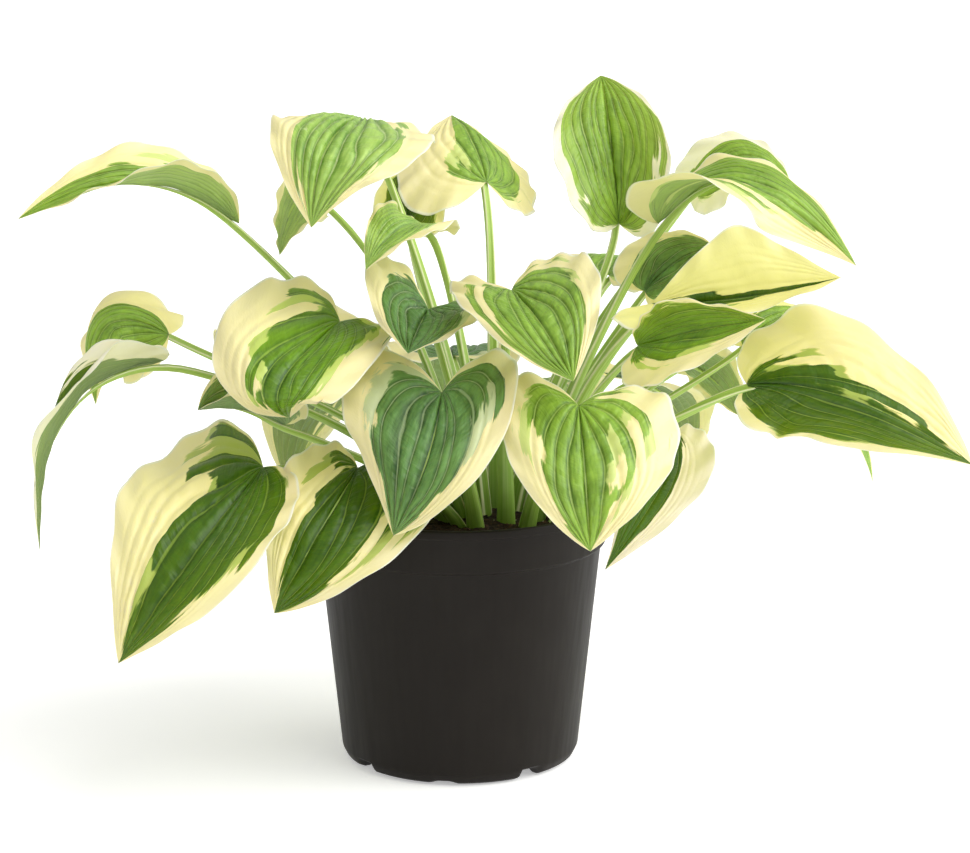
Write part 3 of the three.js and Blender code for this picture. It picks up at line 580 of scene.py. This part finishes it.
def stem_path(leaf, share):
    """The solids' stem: a cubic from under the soil, up and over into the blade's base. Share runs 0 to 1."""
    distance, turn = leaf["root"][0], math.radians(leaf["root"][1])
    root = np.array([CROWN[0] + distance * math.cos(turn), CROWN[1] + distance * math.sin(turn), SOIL_TOP])
    neck = np.array(leaf["base"], float)
    reach = np.linalg.norm(neck - root)
    start = midrib(leaf, np.zeros(1))[1][0]
    rise = unit(np.array([0, 0, 1.0]) + STEM_LEAN * unit(neck - root))
    into = unit(unit(neck - root) + STEM_TURN * start)
    foot = root - rise * STEM_DEPTH
    return curve(share[:, None], foot, foot + rise * (STEM_DEPTH + reach * STEM_HANDLE),
                 neck - into * reach * STEM_HANDLE, neck + into * STEM_NECK_RADIUS)


def stem_mesh(leaf, first):
    """Points, faces and UVs of a channelled stem that runs on as the rib under the blade.

    The section is a circle whose upper side is pressed in by a bell curve, with a raised edge on each side,
    and drawn wide near the soil. Its radius shrinks from root to neck as in the solids and then to nothing
    under the midrib. The rib lies on the line that halves the angle between the undersides of both halves,
    its top at least 0.9 mm under the midrib. first is how many points stand before the stem in the mesh.
    """
    # 26 rings up the stem and 12 under the midrib.
    shares, rib_shares = np.linspace(0, 0.97, 26), np.linspace(0.05, 0.62, 12)
    size = leaf.get("stem", 1)
    # The rib, lowered more where both halves fall, because it is then in the angle between them.
    point, up, side = blade_frame(leaf, rib_shares)
    left, right = (np.radians(low + (high - low) * rib_shares)[:, None] for _, low, high, *_ in (
        leaf["left"], leaf["right"]))
    away = (side * (np.sin(left) - np.sin(right)) + up * (np.cos(left) + np.cos(right))) / 2
    spread = np.where((left + right)[:, 0] < 0, np.linalg.norm(away, axis=1), 1).clip(0.4)
    rib_up = unit(away)
    rib_radius = size * STEM_NECK_RADIUS * (1 - rib_shares / 0.64) ** 1.2 * 0.9 + 0.12
    rib = point - rib_up * (ease(rib_shares, -0.1, 0.08) * (rib_radius + 0.9) / spread)[:, None]
    sink = ease(shares, 0.8, 1) * size * STEM_NECK_RADIUS * 0.8
    stem = stem_path(leaf, shares) - rib_up[0] * sink[:, None]
    path = np.concatenate([stem, rib])
    for _ in range(3):
        path[1:-1] = (path[:-2] + 2 * path[1:-1] + path[2:]) / 4
    taper = STEM_ROOT_RADIUS + (STEM_NECK_RADIUS - STEM_ROOT_RADIUS) * shares ** 0.6
    radius = np.concatenate([size * taper * 0.94, rib_radius])
    # The channel faces the clump's middle at the soil and turns to the blade's upper side at the neck.
    tangent = unit(np.gradient(path, axis=0))
    reach = stem[-1] - stem[0]
    level = unit(np.array([-reach[1], reach[0], 0.0]))
    along = np.concatenate([shares, np.ones(len(rib))])
    up = curve(ease(along, 0.55, 1)[:, None], unit(np.cross(tangent, level)),
               np.concatenate([np.tile(rib_up[0], (len(stem), 1)), rib_up]))
    up = unit(up - (up * tangent).sum(-1, keepdims=True) * tangent)
    side = np.cross(tangent, up)
    angle = np.linspace(0, FULL_TURN, 20, endpoint=False)
    off = np.minimum(angle, FULL_TURN - angle)
    channel = np.concatenate([
        0.16 + 0.36 * ease(shares, 0, 0.35), 0.5 * (1 - ease(rib_shares, 0, 0.12))])[:, None]
    edge = 0.10 * np.exp(-((off - 0.95) / 0.22) ** 2)
    section = 1 - channel * np.exp(-(off / 0.62) ** 2) + (channel > 0.05) * edge
    wide = 1 + 0.5 * (1 - ease(along, 0.05, 0.8))[:, None]
    rise = up[:, None] * (section * np.cos(angle))[..., None]
    spread = side[:, None] * (section * wide * np.sin(angle))[..., None]
    rings = path[:, None] + radius[:, None, None] * (rise + spread)
    place = np.stack(np.meshgrid(angle / FULL_TURN, np.linspace(0, 1, len(path))), -1).reshape(-1, 2)
    return *capped(rings, path[0], path[-1], first), np.concatenate([place, [[0.5, 0]], [[0.5, 1]]])


# Materials


def add_node(tree, kind, inputs=(), output=0, **settings):
    """Adds a shader node with its settings, and returns one of its outputs, by number or name, or a slice.

    inputs are values by the number or name of the socket, or a list of values in the sockets' order. A value
    that is a socket is linked.
    """
    node = tree.nodes.new("ShaderNode" + kind)
    for key, value in settings.items():
        setattr(node, key, value)
    for key, value in (inputs if isinstance(inputs, dict) else dict(enumerate(inputs))).items():
        if isinstance(value, bpy.types.NodeSocket):
            tree.links.new(value, node.inputs[key])
        else:
            node.inputs[key].default_value = value
    return node.outputs[output] if len(node.outputs) else None


def new_material(name):
    """An empty node material, and add_node for its tree."""
    material = bpy.data.materials.new(name)
    material.use_nodes = True
    material.node_tree.nodes.clear()
    return material, partial(add_node, material.node_tree)


def blade_material(leaf):
    """Living hosta leaf: a waxy, faintly glossy skin over green tissue that lets some light through.

    Green cells end strip by strip along the veins, so the edge of the green is a row of fingers that point to
    the tip, with half-green patches between green and cream. The underside is paler and duller.
    """
    material, add = new_material("hosta_" + leaf["name"])
    shade, lit, half_green = (linear(code) for code in GREENS[leaf["tone"]])
    cream = linear(CREAMS[leaf.get("cream", "butter")])
    shift = (leaf["draw"] * 3.7, leaf["draw"] * 1.3, leaf["draw"])
    grid = add("UVMap", uv_map="Veins")
    across, share, _ = add("SeparateXYZ", [grid], slice(3))
    vein = add("Math", [across, 2, -1], operation="MULTIPLY_ADD")
    out = add("Math", [vein], operation="ABSOLUTE")
    right = add("Math", [vein, 0], operation="GREATER_THAN")
    # The half is cut into strips about 5 mm wide between fine veins that sway a little.
    swayed = add("VectorMath", [grid, (10, 5, 0), shift], operation="MULTIPLY_ADD")
    sway = add("TexNoise", {"Vector": swayed, "Scale": 1, "Detail": 3})
    fan = add("Math", [sway, 0.09, out], operation="MULTIPLY_ADD")
    spread = add("Math", [fan, FINGERS], operation="MULTIPLY")
    strip = add("Math", [spread], operation="FLOOR")
    centre = add("Math", [strip, FINGERS], operation="DIVIDE")
    key = add("CombineXYZ", [strip, right, leaf["draw"]])
    draws = add("TexWhiteNoise", [key], 1, noise_dimensions="3D")
    length_draw, patch_draw, _ = add("SeparateXYZ", [draws], slice(3))
    cell = add("CombineXYZ", [centre, share, right])
    # Noise by its number of cells across and along a blade of about 100 by 120 mm, or from half to half too.
    # Pores are 60 by 110 cells, and cross wrinkles about 3 mm along the blade and 8 mm across it.
    noise = {}
    for name, place, cells, detail in (
            ("swing", cell, (7, 1, 9), 1), ("notches", cell, (5, 2.6, 5), 2), ("teeth", grid, (34, 7, 0), 3),
            ("slow", grid, (6, 4, 0), 3), ("fine", grid, (70, 12, 0), 3),
            ("pores", grid, (60, 110, 0), 3), ("wrinkles", grid, (12, 42, 0), 2)):
        scaled = add("VectorMath", [place, cells, shift], operation="MULTIPLY_ADD")
        noise[name] = add("TexNoise", {"Vector": scaled, "Scale": 1, "Detail": detail})
    strips = add("Attribute", [], 2, attribute_name="strips")
    offset = add("Math", [strips, 0.5], operation="PINGPONG")
    # Painted shade: the green darkens in the grooves along the veins and lightens on the swells between them.
    painted_groove_shade = add("MapRange", [offset, 0.03, 0.3, 0.15, 0.65], interpolation_type="SMOOTHSTEP")
    # Weighted sums. where: how far along a strip is, by its own draw and a slow swing that groups strips into
    # fingers. ragged: how far out it is, with teeth. toned: painted shade in the grooves along the veins and
    # painted light on the swells between them, and a slow and a fine mottle.
    sums = []
    for total, parts in (
            (-1, ((share, 1), (noise["swing"], 1.5), (length_draw, 0.5))),
            (-0.28, ((centre, 0.6), (fan, 0.4), (noise["teeth"], 0.16), (noise["notches"], 0.46))),
            (-1.1, ((noise["slow"], 1.3), (noise["fine"], 1), (painted_groove_shade, 1)))):
        for part, weight in parts:
            total = add("Math", [part, weight, total], operation="MULTIPLY_ADD")
        sums.append(total)
    where, ragged, toned = sums
    # The green ends where ragged passes the half's share of green. Half-green patches reach on by a draw.
    patch = add("Math", [patch_draw, 0.34, -0.119], operation="MULTIPLY_ADD")
    fields = []
    for held_back, full in ((0, 1), (patch, 0.85)):
        placed = add("Math", [where, held_back], operation="SUBTRACT")
        reach = [add("MapRange", [placed, 0.02, 0.7, *ends]) for ends in leaf["green"]]
        limit = add("Mix", {0: right, 2: reach[0], 3: reach[1]})
        margin = add("Math", [ragged, limit], operation="SUBTRACT")
        fields.append(add("MapRange", [margin, -0.012, 0.012, full, 0], interpolation_type="SMOOTHSTEP"))
    green, partly = fields
    # Pale vein lines in the tissue, the cream with its patches, a pale rim and the underside's bloom.
    line = add("MapRange", [offset, 0.02, 0.07, 0.5, 0], interpolation_type="SMOOTHSTEP")
    rim = add("MapRange", [out, 0.965, 0.985, 0, 0.8])
    under = add("Attribute", [], 2, attribute_name="underside")
    bloom = add("Math", [under, 0.38], operation="MULTIPLY")
    # The tissue blends from the shaded to the lit green by painted groove shade, painted swell light and
    # random mottle.
    tissue = add("Mix", {0: toned, 6: shade, 7: lit}, 2, data_type="RGBA")
    veined = add("Mix", {0: line, 6: tissue, 7: half_green}, 2, data_type="RGBA")
    skin = cream
    for amount, colour in ((partly, half_green), (green, veined), (rim, linear("#F6F4D4")),
                           (bloom, linear("#AEC088"))):
        skin = add("Mix", {0: amount, 6: skin, 7: colour}, 2, data_type="RGBA")
    # Pores everywhere, and cross wrinkles that are stronger in the green.
    wrinkle = add("Math", [noise["wrinkles"], 0.5], operation="SUBTRACT")
    weight = add("Math", [green, 2, 0.4], operation="MULTIPLY_ADD")
    wrinkled = add("Math", [wrinkle, weight], operation="MULTIPLY")
    height = add("Math", [noise["pores"], 0.4, wrinkled], operation="MULTIPLY_ADD")
    bump = add("Bump", {"Strength": 0.5, "Distance": 0.0007, "Height": height})
    gloss = add("MapRange", [under, 0, 1, 0.34, 0.6])
    shader = add("BsdfPrincipled", {
        "Base Color": skin, "Roughness": gloss, "Normal": bump, "IOR": 1.45, "Specular IOR Level": 0.4,
        "Subsurface Weight": 0.5, "Subsurface Radius": (1.0, 1.0, 0.5), "Subsurface Scale": 0.003})
    add("OutputMaterial", [shader])
    return material


def stem_material(settings):
    """Living leaf stem: juicy, smooth, lightly waxed, with fine lengthwise lines and pale channel edges."""
    material, add = new_material("hosta_stem")
    grid = add("UVMap", uv_map="Veins")
    around, share, _ = add("SeparateXYZ", [grid], slice(3))
    offset = add("Math", [around, 0.5], operation="PINGPONG")
    from_edge = add("Math", [offset, 0.15], operation="SUBTRACT")
    distance = add("Math", [from_edge], operation="ABSOLUTE")
    edge = add("MapRange", [distance, 0.012, 0.05, 0.85, 0], interpolation_type="SMOOTHSTEP")
    # 26 lines round the stem, about 1 mm apart at the soil.
    lines = add("VectorMath", [grid, (26, 1.5, 1)], operation="MULTIPLY")
    streak = add("TexNoise", {"Vector": lines, "Scale": 1, "Detail": 3})
    toned = add("MapRange", [streak, 0.35, 0.65])
    low = add("MapRange", [share, 0, 0.45, 0.65, 0])
    # Pale streaks, a darker foot and pale edges of the channel.
    skin = settings.stem
    for amount, code in ((toned, "#B6D06C"), (low, "#4C7420"), (edge, "#EEF0C4")):
        skin = add("Mix", {0: amount, 6: skin, 7: linear(code)}, 2, data_type="RGBA")
    bump = add("Bump", {"Strength": 0.2, "Distance": 0.0004, "Height": streak})
    shader = add("BsdfPrincipled", {
        "Base Color": skin, "Roughness": 0.38, "Normal": bump, "IOR": 1.45,
        "Subsurface Weight": 0.15, "Subsurface Radius": (0.9, 1.0, 0.3), "Subsurface Scale": 0.002})
    add("OutputMaterial", [shader])
    return material


def pot_material(settings):
    """Injection-moulded polypropylene, dark brown: satin, with fine grain and faint upright flow lines."""
    material, add = new_material("moulded_plastic")
    place = add("TexCoord", [], "Object")
    # Flow lines about 4 mm apart, stretched upwards, and a grain of about 0.5 mm.
    flow = add("VectorMath", [place, (250, 250, 9)], operation="MULTIPLY")
    lines = add("TexNoise", {"Vector": flow, "Scale": 1, "Detail": 2})
    grain = add("TexNoise", {"Vector": place, "Scale": 2000, "Detail": 1})
    dust = add("TexNoise", {"Vector": place, "Scale": 28, "Detail": 4})
    worn = add("MapRange", [dust, 0.45, 0.75, 0, 0.16])
    skin = add("Mix", {0: worn, 6: settings.plastic, 7: linear("#2A2621")}, 2, data_type="RGBA")
    rough = add("MapRange", [lines, 0.3, 0.7, 0.46, 0.56])
    both = add("Math", [grain, 0.4, lines], operation="MULTIPLY_ADD")
    bump = add("Bump", {"Strength": 0.12, "Distance": 0.0003, "Height": both})
    shader = add("BsdfPrincipled", {
        "Base Color": skin, "Roughness": rough, "Normal": bump, "IOR": 1.49, "Specular IOR Level": 0.15})
    add("OutputMaterial", [shader])
    return material


def soil_material(settings):
    """Damp potting mix of peat and bark: nearly black, dull, with brown fibres and damp, shinier patches."""
    material, add = new_material("potting_mix")
    place = add("TexCoord", [], "Object")
    # Crumbs of about 2 mm with finer fibres in them, and damp patches about 11 mm across.
    crumbs = add("TexNoise", {"Vector": place, "Scale": 420, "Detail": 5, "Roughness": 0.7})
    patches = add("TexNoise", {"Vector": place, "Scale": 90, "Detail": 3})
    toned = add("MapRange", [crumbs, 0.42, 0.72])
    brown = add("Mix", {0: toned, 6: settings.earth, 7: linear("#4A3626")}, 2, data_type="RGBA")
    damp = add("MapRange", [patches, 0.4, 0.65, 0.95, 0.7])
    bump = add("Bump", {"Strength": 0.9, "Distance": 0.0015, "Height": crumbs})
    shader = add("BsdfPrincipled", {
        "Base Color": brown, "Roughness": damp, "Normal": bump, "IOR": 1.4, "Specular IOR Level": 0.3})
    add("OutputMaterial", [shader])
    return material


def chip_material(name, dark, pale, rough):
    """Loose bits on the soil, split bark or grit: dull, each bit a little lighter or darker than the next."""
    material, add = new_material(name)
    place = add("TexCoord", [], "Object")
    # Tones change every 6 mm or so, from bit to bit, and fibres are about 0.7 mm apart.
    tones = add("TexNoise", {"Vector": place, "Scale": 160, "Detail": 3})
    toned = add("MapRange", [tones, 0.35, 0.7])
    skin = add("Mix", {0: toned, 6: linear(dark), 7: linear(pale)}, 2, data_type="RGBA")
    fibres = add("TexNoise", {"Vector": place, "Scale": 1500, "Detail": 2})
    bump = add("Bump", {"Strength": 0.5, "Distance": 0.0004, "Height": fibres})
    shader = add("BsdfPrincipled", {
        "Base Color": skin, "Roughness": rough, "Normal": bump, "Specular IOR Level": 0.3})
    add("OutputMaterial", [shader])
    return material


# Pot


def inner_radius(height, shoulder):
    """Radius of the pot's inside at a height below the collar."""
    slope = (COLLAR_RADIUS - COLLAR_STEP - FOOT_RADIUS) / shoulder
    return FOOT_RADIUS - WALL - 0.5 + slope * min(height, shoulder - 6)


def pot_profile(height, lip):
    """Radius and height from the middle of the underside over foot, wall, collar and lip to the floor."""
    shoulder = height - COLLAR_HEIGHT
    underside = FLOOR_HEIGHT - WALL
    return rounded([
        (0, 0, 0),
        (MIDDLE_FOOT_RADIUS + 1.5, 0, 1),
        (MIDDLE_FOOT_RADIUS + MIDDLE_FOOT_SLOPE + 1.5, underside, 1),
        (FOOT_RADIUS - FOOT_ROUND - 9, underside, 0),
        (FOOT_RADIUS - FOOT_ROUND - 5, underside, 0.6),
        (FOOT_RADIUS - FOOT_ROUND - 4, 0, 0.6),
        (FOOT_RADIUS - FOOT_ROUND, 0, 0.8),
        (FOOT_RADIUS - FOOT_ROUND * 0.35, FOOT_ROUND * 0.3, 1.2),
        (FOOT_RADIUS, FOOT_ROUND, 1.6),
        (COLLAR_RADIUS - COLLAR_STEP - 1, shoulder - 2, 0.8),
        (COLLAR_RADIUS - 1, shoulder, 0.8),
        (COLLAR_RADIUS, height - LIP_HEIGHT - 1, 0.6),
        (lip, height - LIP_HEIGHT, 0.7),
        (lip, height, 1.3),
        (lip - WALL - 1, height, 0.8),
        (COLLAR_RADIUS - WALL - 1, height - LIP_HEIGHT, 0.8),
        (COLLAR_RADIUS - WALL - 1.5, shoulder + 2, 0.8),
        (inner_radius(shoulder, shoulder), shoulder - 6, 0.8),
        (inner_radius(FLOOR_HEIGHT, shoulder), FLOOR_HEIGHT, 1.2),
        (MIDDLE_FOOT_RADIUS + MIDDLE_FOOT_SLOPE, FLOOR_HEIGHT, 1),
        (MIDDLE_FOOT_RADIUS, WALL, 1),
        (0, WALL, 0),
    ])


def notch_height(angle):
    """How far the foot is cut up at an angle: flat notches, deep and shallow in turn.

    The deep ones are steep on the side that faces the middle of the front or the back. Every other side of a
    notch slopes over 6 degrees.
    """
    lift = np.zeros_like(angle)
    for index in range(NOTCH_COUNT):
        width, height = SHALLOW_NOTCH if index % 2 else DEEP_NOTCH
        half = math.degrees(width / 2 / FOOT_RADIUS)
        off = (np.degrees(angle) - NOTCH_START - 360 / NOTCH_COUNT * index + 180) % 360 - 180
        for side in (1, -1):
            slope = 1.2 if side == (1, 0, -1, 0)[index % 4] else 6
            cut = height * (1 - ease(off * side, half - slope / 2, half + slope / 2))
            lift = np.maximum(lift, np.where(off * side >= 0, cut, 0))
    return lift


def drain_holes(piece):
    """Cuts round drain holes through the floor, one in line with each notch."""
    angle = np.linspace(0, FULL_TURN, DRAIN_SIDES, endpoint=False)
    heights = np.array([[FLOOR_HEIGHT - 3 * WALL], [FLOOR_HEIGHT + 2 * WALL]])
    points, faces = [], []
    for index in range(NOTCH_COUNT):
        turn = math.radians(NOTCH_START + 360 / NOTCH_COUNT * index)
        middle = np.array([DRAIN_CIRCLE * math.cos(turn), DRAIN_CIRCLE * math.sin(turn), 0])
        ends = middle + heights * (0, 0, 1)
        part, part_faces = capped(middle + circle(DRAIN_RADIUS, heights, angle), *ends,
                                  first=index * (2 * DRAIN_SIDES + 2))
        points.append(part)
        faces += part_faces
    cutters = bpy.data.meshes.new("drain_cutters")
    cutters.from_pydata((np.concatenate(points) * MM).tolist(), [], faces)
    tool = bpy.data.objects.new("drain_cutters", cutters)
    bpy.context.scene.collection.objects.link(tool)
    cut = piece.modifiers.new("drain", "BOOLEAN")
    cut.operation, cut.solver, cut.object = "DIFFERENCE", "EXACT", tool
    graph = bpy.context.evaluated_depsgraph_get()
    holed = bpy.data.meshes.new_from_object(piece.evaluated_get(graph))
    piece.modifiers.clear()
    piece.data = holed
    bpy.data.objects.remove(tool)
    if not len(holed.polygons):
        raise RuntimeError("the drain holes took the whole pot away")


class HOSTA_OT_pot(bpy.types.Operator):
    """Builds the nursery pot"""

    bl_idname = "hosta.pot"
    bl_label = "Pot"

    def execute(self, context):
        settings = context.scene.hosta_pot
        profile = pot_profile(settings.height / MM, settings.lip_radius / MM)
        angle = np.linspace(0, FULL_TURN, settings.sides, endpoint=False)
        radius, height = profile[1:-1, 0, None], profile[1:-1, 1, None]
        # The notches cut the foot ring only, and fade out half a millimetre under the floor's upper side.
        lift = notch_height(angle) * np.clip(1 - height / (FLOOR_HEIGHT - 0.5), 0, 1) * ease(radius, 58, 63)
        rings = circle(radius, height + lift, angle)
        points, faces = capped(rings, (0, 0, profile[0, 1]), (0, 0, profile[-1, 1]))
        pot = make_object("nursery_pot", points, faces, pot_material(settings))
        drain_holes(pot)
        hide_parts("pot")
        return {"FINISHED"}


# Soil


def soil_height(x, y, settings):
    """The soil's surface: a low crown that falls to the wall, with lumps of three sizes."""
    radius = np.hypot(x, y)
    crown = SOIL_TOP + SOIL_CROWN * (1 - ease(radius, 0, 75)) - 2 * ease(radius, 70, 89)
    rough = lumps(x, y, 11, 1) * 0.5 + lumps(x, y, 4.5, 2) * 0.35 + lumps(x, y, 2.1, 3) * 0.2
    return crown + rough * settings.lump_height / MM * (1 - ease(radius, 84, 89) * 0.8)


def turned(bits, angle, first, second):
    """Bits turned by an angle each, from the first axis towards the second."""
    cos, sin = np.cos(angle)[:, None], np.sin(angle)[:, None]
    result = bits.copy()
    result[..., first] = bits[..., first] * cos - bits[..., second] * sin
    result[..., second] = bits[..., first] * sin + bits[..., second] * cos
    return result


def scatter(name, count, sizes, shape, material, random, settings):
    """Many small split bits on the soil: a bent octahedron each, turned, sized and placed at random."""
    corners = np.array([(1, 0, 0), (0, 1, 0), (-1, 0, 0), (0, -1, 0), (0, 0, 1), (0, 0, -1)], float) * shape
    sides = np.array([(0, 1, 4), (1, 2, 4), (2, 3, 4), (3, 0, 4), (1, 0, 5), (2, 1, 5), (3, 2, 5), (0, 3, 5)])
    # Spread evenly within 86 mm of the soil's middle.
    radius = 86 * np.sqrt(random.uniform(0, 1, count))
    around = random.uniform(0, FULL_TURN, count)
    x, y = radius * np.cos(around), radius * np.sin(around)
    turn, tip = random.uniform(0, FULL_TURN, count), random.uniform(-0.5, 0.5, count)
    size = random.uniform(*sizes, count) * random.uniform(0.6, 1, count)
    bits = corners[None] * random.uniform(0.7, 1.2, (count, 6, 3)) * size[:, None, None]
    place = np.stack([x, y, soil_height(x, y, settings) + 0.1 * size], -1)
    points = (turned(turned(bits, tip, 0, 2), turn, 0, 1) + place[:, None]).reshape(-1, 3)
    faces = (sides[None] + 6 * np.arange(count)[:, None, None]).reshape(-1, 3).tolist()
    make_object(name, points, faces, material, smooth=False)


class HOSTA_OT_soil(bpy.types.Operator):
    """Builds the potting mix and the loose bits on it"""

    bl_idname = "hosta.soil"
    bl_label = "Soil"

    def execute(self, context):
        settings = context.scene.hosta_soil
        low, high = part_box("soil")
        shoulder = context.scene.hosta_pot.height / MM - COLLAR_HEIGHT
        floor, rim = low[2] / MM, high[0] / MM - 0.2
        angle = np.linspace(0, FULL_TURN, 330, endpoint=False)
        # From the floor up the pot's inside, a little clear of it, and then over the surface to the middle.
        side = np.array([
            (MIDDLE_FOOT_RADIUS - 1, floor),
            (MIDDLE_FOOT_RADIUS + MIDDLE_FOOT_SLOPE - 1, FLOOR_HEIGHT + 0.4),
            (inner_radius(FLOOR_HEIGHT, shoulder) - 1.2, FLOOR_HEIGHT + 0.4),
            (inner_radius(shoulder, shoulder) - 1, shoulder - 6),
            (rim, shoulder + 3),
        ])
        top = circle(np.linspace(rim, 0, 110, endpoint=False)[:, None], 0, angle)
        top[..., 2] = soil_height(top[..., 0], top[..., 1], settings)
        middle = soil_height(np.zeros(1), np.zeros(1), settings)[0]
        points, faces = capped(np.concatenate([circle(side[:, :1], side[:, 1:], angle), top]),
                               (0, 0, floor), (0, 0, middle))
        soil = make_object("potting_soil", points, faces, soil_material(settings))
        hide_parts("soil")
        random = np.random.default_rng(settings.seed)
        bark = chip_material("split_bark", "#241811", "#5A3F2A", 0.85)
        grit = chip_material("pale_grit", "#A79E8E", "#DDD6C6", 0.8)
        scatter("bark_bits", settings.chips, (1.0, 3.6), (1.0, 0.55, 0.3), bark, random, settings)
        scatter("grit_specks", settings.grit, (0.5, 1.1), (1, 0.9, 0.8), grit, random, settings)
        return {"FINISHED"}


# Leaves


def lay_out(mesh, place, kind):
    """Writes the Veins UV map from each point's place. kind is 0 for the blade's faces and 1 for the stem's.

    A blade's corner at the base or tip, the first one of its triangle, takes the middle of its neighbours'
    veins, and a stem face that closes the ring reads its last corners one turn on.
    """
    corners = np.zeros(len(mesh.loops), dtype=np.int32)
    mesh.loops.foreach_get("vertex_index", corners)
    starts, totals = np.zeros((2, len(mesh.polygons)), dtype=np.int32)
    mesh.polygons.foreach_get("loop_start", starts)
    mesh.polygons.foreach_get("loop_total", totals)
    spot = place[corners]
    pole = starts[(totals == 3) & (kind == 0)]
    spot[pole, 0] = (spot[pole + 1, 0] + spot[pole + 2, 0]) / 2
    four = starts[(totals == 4) & (kind == 1)][:, None] + np.arange(4)
    wrapped = np.ptp(spot[four, 0], axis=1) > 0.5
    spot[four, 0] += wrapped[:, None] & (spot[four, 0] < 0.5)
    mesh.uv_layers.new(name="Veins").data.foreach_set("uv", spot.ravel().astype(np.float32))


class HOSTA_OT_leaves(bpy.types.Operator):
    """Builds the leaves, each a veined blade and a channelled stem"""

    bl_idname = "hosta.leaves"
    bl_label = "Leaves"

    def execute(self, context):
        settings = context.scene.hosta_leaves
        stem_skin = stem_material(settings)
        for index, leaf in enumerate(LEAVES):
            random = np.random.default_rng(settings.seed + index)
            blade, faces, place, marks = blade_mesh(leaf, settings, random)
            stem, stem_faces, stem_place = stem_mesh(leaf, len(blade))
            name = leaf["name"].removeprefix("leaf_") + "_leaf"
            piece = make_object(name, np.concatenate([blade, stem]), faces + stem_faces,
                                blade_material(leaf))
            mesh = piece.data
            mesh.materials.append(stem_skin)
            kind = np.repeat(np.array([0, 1], dtype=np.int32), (len(faces), len(stem_faces)))
            mesh.polygons.foreach_set("material_index", kind)
            lay_out(mesh, np.concatenate([place, stem_place]), kind)
            for mark, values in marks.items():
                values = np.concatenate([values, np.zeros(len(stem))]).astype(np.float32)
                mesh.attributes.new(mark, "FLOAT", "POINT").data.foreach_set("value", values)
            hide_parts(leaf["name"])
        return {"FINISHED"}


# Stage


class HOSTA_OT_stage(bpy.types.Operator):
    """Builds the floor, the light and the camera"""

    bl_idname = "hosta.stage"
    bl_label = "Stage"

    def execute(self, context):
        settings = context.scene.hosta_stage
        scene = context.scene
        scene.view_settings.view_transform = "Standard"
        # A floor of 60 by 60 m, 0.3 mm under the pot's foot.
        corners = [(x, y, -0.3 * MM) for x, y in ((-30, -30), (30, -30), (30, 30), (-30, 30))]
        mesh = bpy.data.meshes.new("floor")
        mesh.from_pydata(corners, [], [(0, 1, 2, 3)])
        floor = bpy.data.objects.new("floor", mesh)
        material, add = new_material("pale_floor")
        shader = add("BsdfPrincipled", {
            "Base Color": settings.floor, "Roughness": 0.9, "Specular IOR Level": 0.1,
            "Emission Color": (1, 1, 1, 1), "Emission Strength": settings.glow})
        add("OutputMaterial", [shader])
        mesh.materials.append(material)

        scene.world = bpy.data.worlds.new("soft_white")
        scene.world.use_nodes = True
        tree = scene.world.node_tree
        tree.nodes.clear()
        add_node(tree, "OutputWorld", [add_node(tree, "Background", [(1, 1, 1, 1), settings.sky])])

        lights = []
        for name, strength, turn in (
                ("key", settings.key, (40, 12, 48)), ("side", settings.side, (75, 0, 92))):
            lamp = bpy.data.lights.new(name, "SUN")
            lamp.energy, lamp.angle = strength, math.radians(LAMP_SPREAD)
            light = bpy.data.objects.new(name, lamp)
            light.rotation_euler = [math.radians(angle) for angle in turn]
            lights.append(light)

        data = bpy.data.cameras.new("camera")
        data.lens, data.sensor_width, data.clip_end = CAMERA_LENS, 36, 100
        camera = bpy.data.objects.new("camera", data)
        camera.location = CAMERA_PLACE
        camera.rotation_euler = (math.radians(90 - CAMERA_ELEVATION), 0, 0)
        for thing in (floor, *lights, camera):
            scene.collection.objects.link(thing)
        scene.camera = camera
        return {"FINISHED"}


class HOSTA_PT_panel(bpy.types.Panel):
    """Lists the pieces in the sidebar"""

    bl_label = "Potted Hosta"
    bl_idname = "HOSTA_PT_panel"
    bl_space_type = "VIEW_3D"
    bl_region_type = "UI"
    bl_category = "Hosta"

    def draw(self, context):
        for group in GROUPS:
            settings = getattr(context.scene, group)
            for name in settings.__annotations__:
                self.layout.prop(settings, name)
            self.layout.operator(group.replace("_", "."))


GROUPS = {
    "hosta_pot": HostaPotSettings,
    "hosta_soil": HostaSoilSettings,
    "hosta_leaves": HostaLeafSettings,
    "hosta_stage": HostaStageSettings,
}
CLASSES = (*GROUPS.values(), HOSTA_OT_pot, HOSTA_OT_soil, HOSTA_OT_leaves, HOSTA_OT_stage, HOSTA_PT_panel)


def register():
    for cls in CLASSES:
        bpy.utils.register_class(cls)
    for name, group in GROUPS.items():
        setattr(bpy.types.Scene, name, PointerProperty(type=group))


def unregister():
    for name in GROUPS:
        delattr(bpy.types.Scene, name)
    for cls in reversed(CLASSES):
        bpy.utils.unregister_class(cls)


def main():
    """Builds everything."""
    register()
    for build in (bpy.ops.hosta.pot, bpy.ops.hosta.soil, bpy.ops.hosta.leaves, bpy.ops.hosta.stage):
        if build() != {"FINISHED"}:
            raise RuntimeError("a piece was not finished")


if __name__ == "__main__":
    main()
